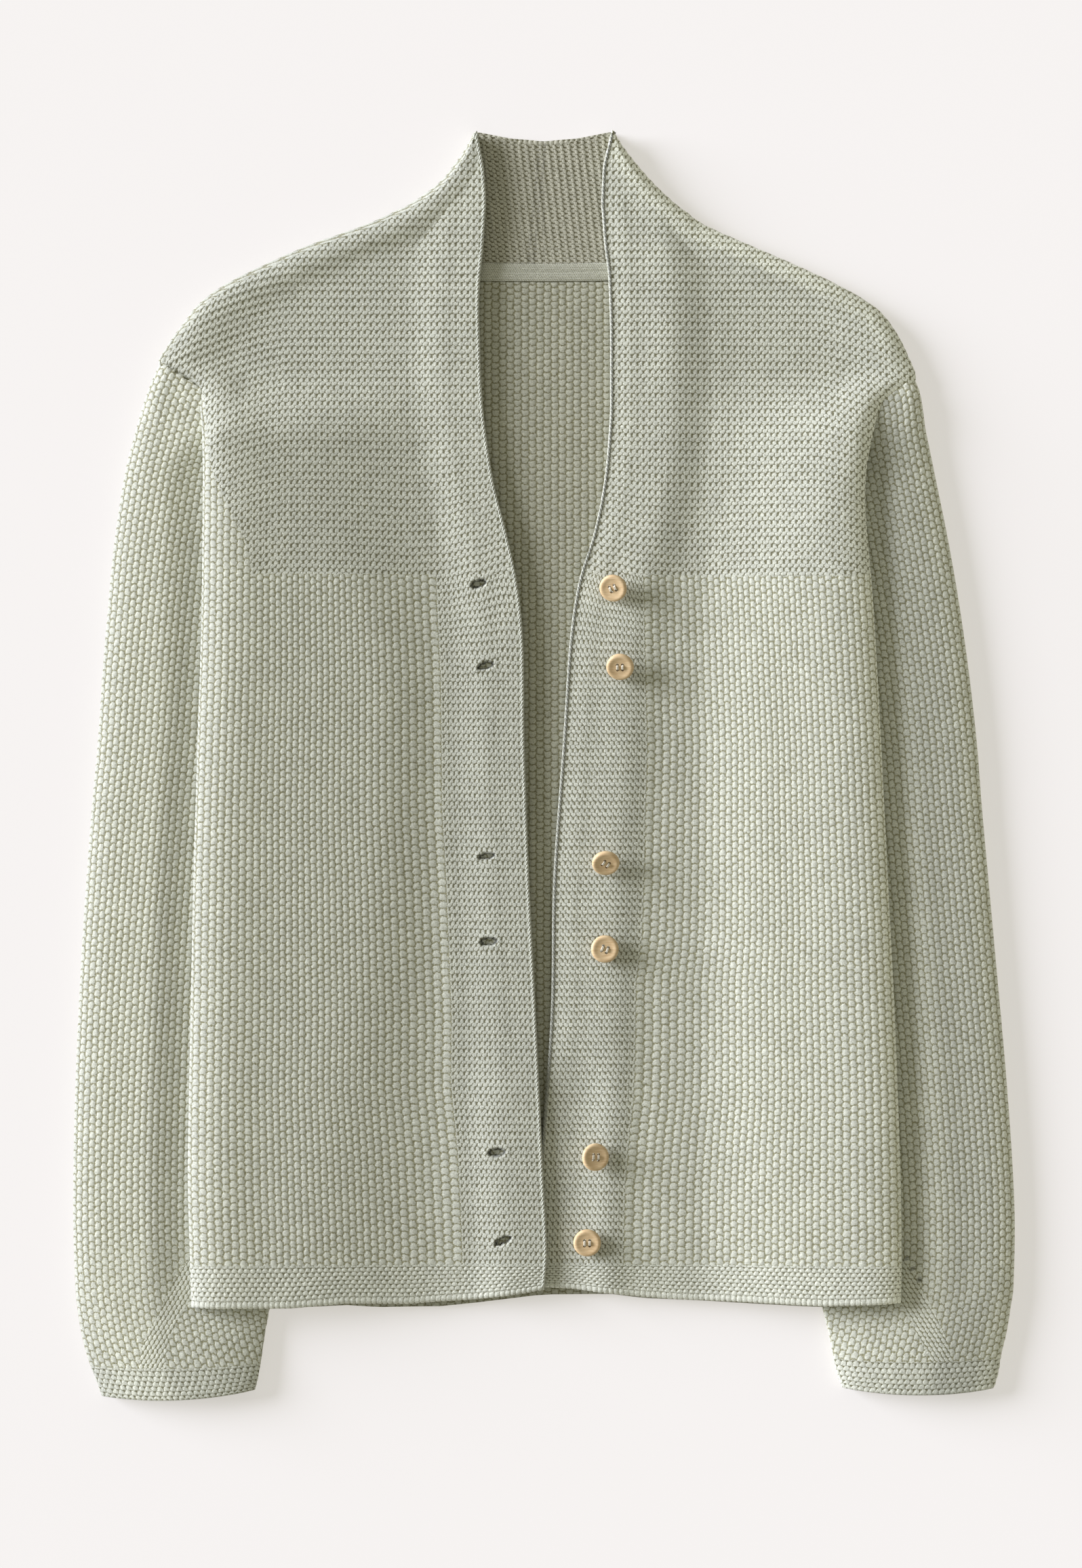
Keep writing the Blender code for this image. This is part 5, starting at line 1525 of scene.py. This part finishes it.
def button_mesh():
    """A turned button with a rim, a dish and four holes right through."""
    mesh = bpy.data.meshes.new("button_blank")
    points = [(r * BUTTON_RADIUS * MM, 0.0, z * BUTTON_THICK * MM) for r, z in BUTTON_PROFILE]
    mesh.from_pydata(points, [(i, i + 1) for i in range(len(points) - 1)], [])
    blank = add("button_blank", mesh)
    screw = blank.modifiers.new("turn", "SCREW")
    screw.steps = screw.render_steps = 48
    screw.use_merge_vertices = True
    screw.merge_threshold = 0.00001
    cutters = []
    for number in range(4):
        angle = math.radians(45 + 90 * number)
        reach = HOLE_SPACING * math.sqrt(2) * MM
        shape = bmesh.new()
        bmesh.ops.create_cone(shape, cap_ends=True, segments=16, radius1=HOLE_RADIUS * MM,
                              radius2=HOLE_RADIUS * MM, depth=3 * BUTTON_THICK * MM)
        bmesh.ops.translate(shape, verts=shape.verts,
                            vec=(reach * math.cos(angle), reach * math.sin(angle),
                                 0.5 * BUTTON_THICK * MM))
        tool_mesh = bpy.data.meshes.new("hole")
        shape.to_mesh(tool_mesh)
        shape.free()
        tool = add(f"hole_{number}", tool_mesh)
        cutters.append(tool)
        cut = blank.modifiers.new(f"hole_{number}", "BOOLEAN")
        cut.operation, cut.solver, cut.object = "DIFFERENCE", "EXACT", tool
    graph = bpy.context.evaluated_depsgraph_get()
    baked = bpy.data.meshes.new_from_object(blank.evaluated_get(graph))
    for thing in (blank, *cutters):
        bpy.data.objects.remove(thing)
    baked.shade_smooth()
    baked.set_sharp_from_angle(angle=math.radians(40))
    return baked


def tube_points(path, radius):
    """A round tube along a path, closed at both ends: points and faces."""
    around = 8
    path = np.array(path, float)
    run = unit(np.gradient(path, axis=0))
    side = unit(np.cross(run, (0.0, 1.0, 0.3)))
    up = np.cross(side, run)
    turns = np.linspace(0, 2 * math.pi, around, endpoint=False)
    rings = np.stack([path + (side * math.cos(t) + up * math.sin(t)) * radius for t in turns],
                     axis=1)
    count = len(path)
    faces = [(i * around + k, i * around + (k + 1) % around, (i + 1) * around + (k + 1) % around,
              (i + 1) * around + k) for i in range(count - 1) for k in range(around)]
    faces.append(tuple(reversed(range(around))))
    faces.append(tuple((count - 1) * around + k for k in range(around)))
    return rings.reshape(-1, 3), faces


def thread_mesh():
    """Two bars of doubled thread through the holes, and the shank under the button."""
    tubes = []
    xs = np.linspace(-BAR_HALF, BAR_HALF, 11)
    bow = np.cos(xs / BAR_HALF * math.pi / 2)
    heights = DISH * BUTTON_THICK - BAR_DEPTH \
        + (BAR_DEPTH + BAR_OVER) * np.clip(bow * 2.2, 0, 1) ** 0.5
    for row in (-1, 1):
        for strand in (-0.5, 0.5):
            offset = np.full(len(xs), row * HOLE_SPACING + strand * STRAND_GAP)
            tubes.append(tube_points(np.stack((xs, offset, heights), axis=1), STRAND_RADIUS))
    for number in range(4):
        angle = math.radians(45 + 90 * number)
        x, y = SHANK_OUT * math.cos(angle), SHANK_OUT * math.sin(angle)
        path = [(x * (1 + 0.2 * out), y * (1 + 0.2 * out), z) for out, z in SHANK_PATH]
        tubes.append(tube_points(path, SHANK_RADIUS))
    points, faces = [], []
    for own_points, own_faces in tubes:
        faces += [tuple(len(points) + k for k in face) for face in own_faces]
        points += [tuple(point * MM) for point in own_points]
    mesh = bpy.data.meshes.new("thread")
    mesh.from_pydata(points, [], faces)
    mesh.shade_smooth()
    return mesh


def front_top(side, x, y):
    """How high the upper side of a front is, well away from its fold."""
    edge_x = np.interp(y, FRONT[side][:, 3], FRONT[side][:, 2])
    return float(lift(x, y) + 2 * WALL + air_under(side, FAR_OFF, abs(x - edge_x), y))


def make_buttons():
    turned, thread = button_mesh(), thread_mesh()
    thread.materials.append(thread_finish())
    for number, ((x, y, tilt, turn), spin) in enumerate(zip(BUTTONS, THREAD_TURNS), start=1):
        lean = math.radians(tilt)
        rise = BUTTON_RADIUS * math.sin(lean) + BUTTON_SHANK
        height = front_top(1, x, y) + rise + BUTTON_ROOM * BUTTON_RADIUS * math.cos(lean)
        matrix = (Matrix.Translation((x * MM, y * MM, height * MM))
                  @ Matrix.Rotation(math.radians(turn), 4, "Z") @ Matrix.Rotation(lean, 4, "X")
                  @ Matrix.Rotation(math.radians(spin - turn), 4, "Z"))
        button = add(f"button_{number}_turned", turned.copy())
        button.data.transform(matrix)
        button.data.materials.clear()
        button.data.materials.append(button_finish(number))
        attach(button, "root")
        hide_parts(f"button_{number}")
        sewn = add(f"button_{number}_thread", thread.copy())
        sewn.data.transform(matrix)
        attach(sewn, "root")


make_buttons()


# ---- floor, light and camera ---------------------------------------------------------------------
FLOOR_HALF, FLOOR_Z = 6.0, -0.0004           # metres
SUN_ELEVATION, SUN_ANGLE = 13.0, 34.0        # degrees: a large, low window
SUN_FROM = (-1.0, 0.32)                      # from the left, a little from above
SUN_STRENGTH, SUN_COLOUR = 7.0, (0.98, 1.0, 1.17)
SKY_STRENGTH, SKY_COLOUR = 0.40, (1.0, 0.98, 0.86, 1.0)
LENS, SENSOR = 85.0, 36.0                    # millimetres
FOCUS_Z = 0.010                              # metres: how high the scale of the picture holds


def make_stage():
    mesh = bpy.data.meshes.new("floor")
    corners = ((-1, -1), (1, -1), (1, 1), (-1, 1))
    mesh.from_pydata([(x * FLOOR_HALF, y * FLOOR_HALF, FLOOR_Z) for x, y in corners], [],
                     [(0, 1, 2, 3)])
    floor = add("floor", mesh)
    made, tree, shader, place = new_material("floor_paper", {
        "Roughness": 0.95, "Specular IOR Level": 0.1,
        "Emission Color": (1.0, 0.965, 0.922, 1.0), "Emission Strength": 0.46})
    feed(tree, shader.inputs["Base Color"],
         two_colours(tree, noise(tree, place, 3.0)[0],
                     (0.515, 0.500, 0.487), (0.525, 0.510, 0.497)))
    floor.data.materials.append(made)


def make_light():
    sun = bpy.data.lights.new("window", "SUN")
    sun.energy, sun.angle, sun.color = SUN_STRENGTH, math.radians(SUN_ANGLE), SUN_COLOUR
    azimuth = math.atan2(SUN_FROM[1], SUN_FROM[0])
    add("window", sun).rotation_euler = (math.radians(90 - SUN_ELEVATION), 0.0,
                                         azimuth + math.pi / 2)
    world = bpy.data.worlds.new("studio")
    world.use_nodes = True
    sky = world.node_tree.nodes["Background"]
    sky.inputs[0].default_value = SKY_COLOUR
    sky.inputs[1].default_value = SKY_STRENGTH
    bpy.context.scene.world = world


def make_camera():
    """Straight above the middle of the picture, at the distance where it fills the frame."""
    lens = bpy.data.cameras.new("camera")
    lens.lens, lens.sensor_width, lens.sensor_fit = LENS, SENSOR, "AUTO"
    lens.clip_end = 50.0
    camera = add("camera", lens)
    distance = PICTURE_TALL * PX * MM * LENS / SENSOR
    camera.location = ((PICTURE_X - CENTRE_X) * PX * MM, (CENTRE_Y - PICTURE_Y) * PX * MM,
                       distance + FOCUS_Z)
    camera.rotation_euler = (0.0, 0.0, 0.0)
    bpy.context.scene.camera = camera
    bpy.context.scene.view_settings.view_transform = "Standard"


make_stage()
make_light()
make_camera()
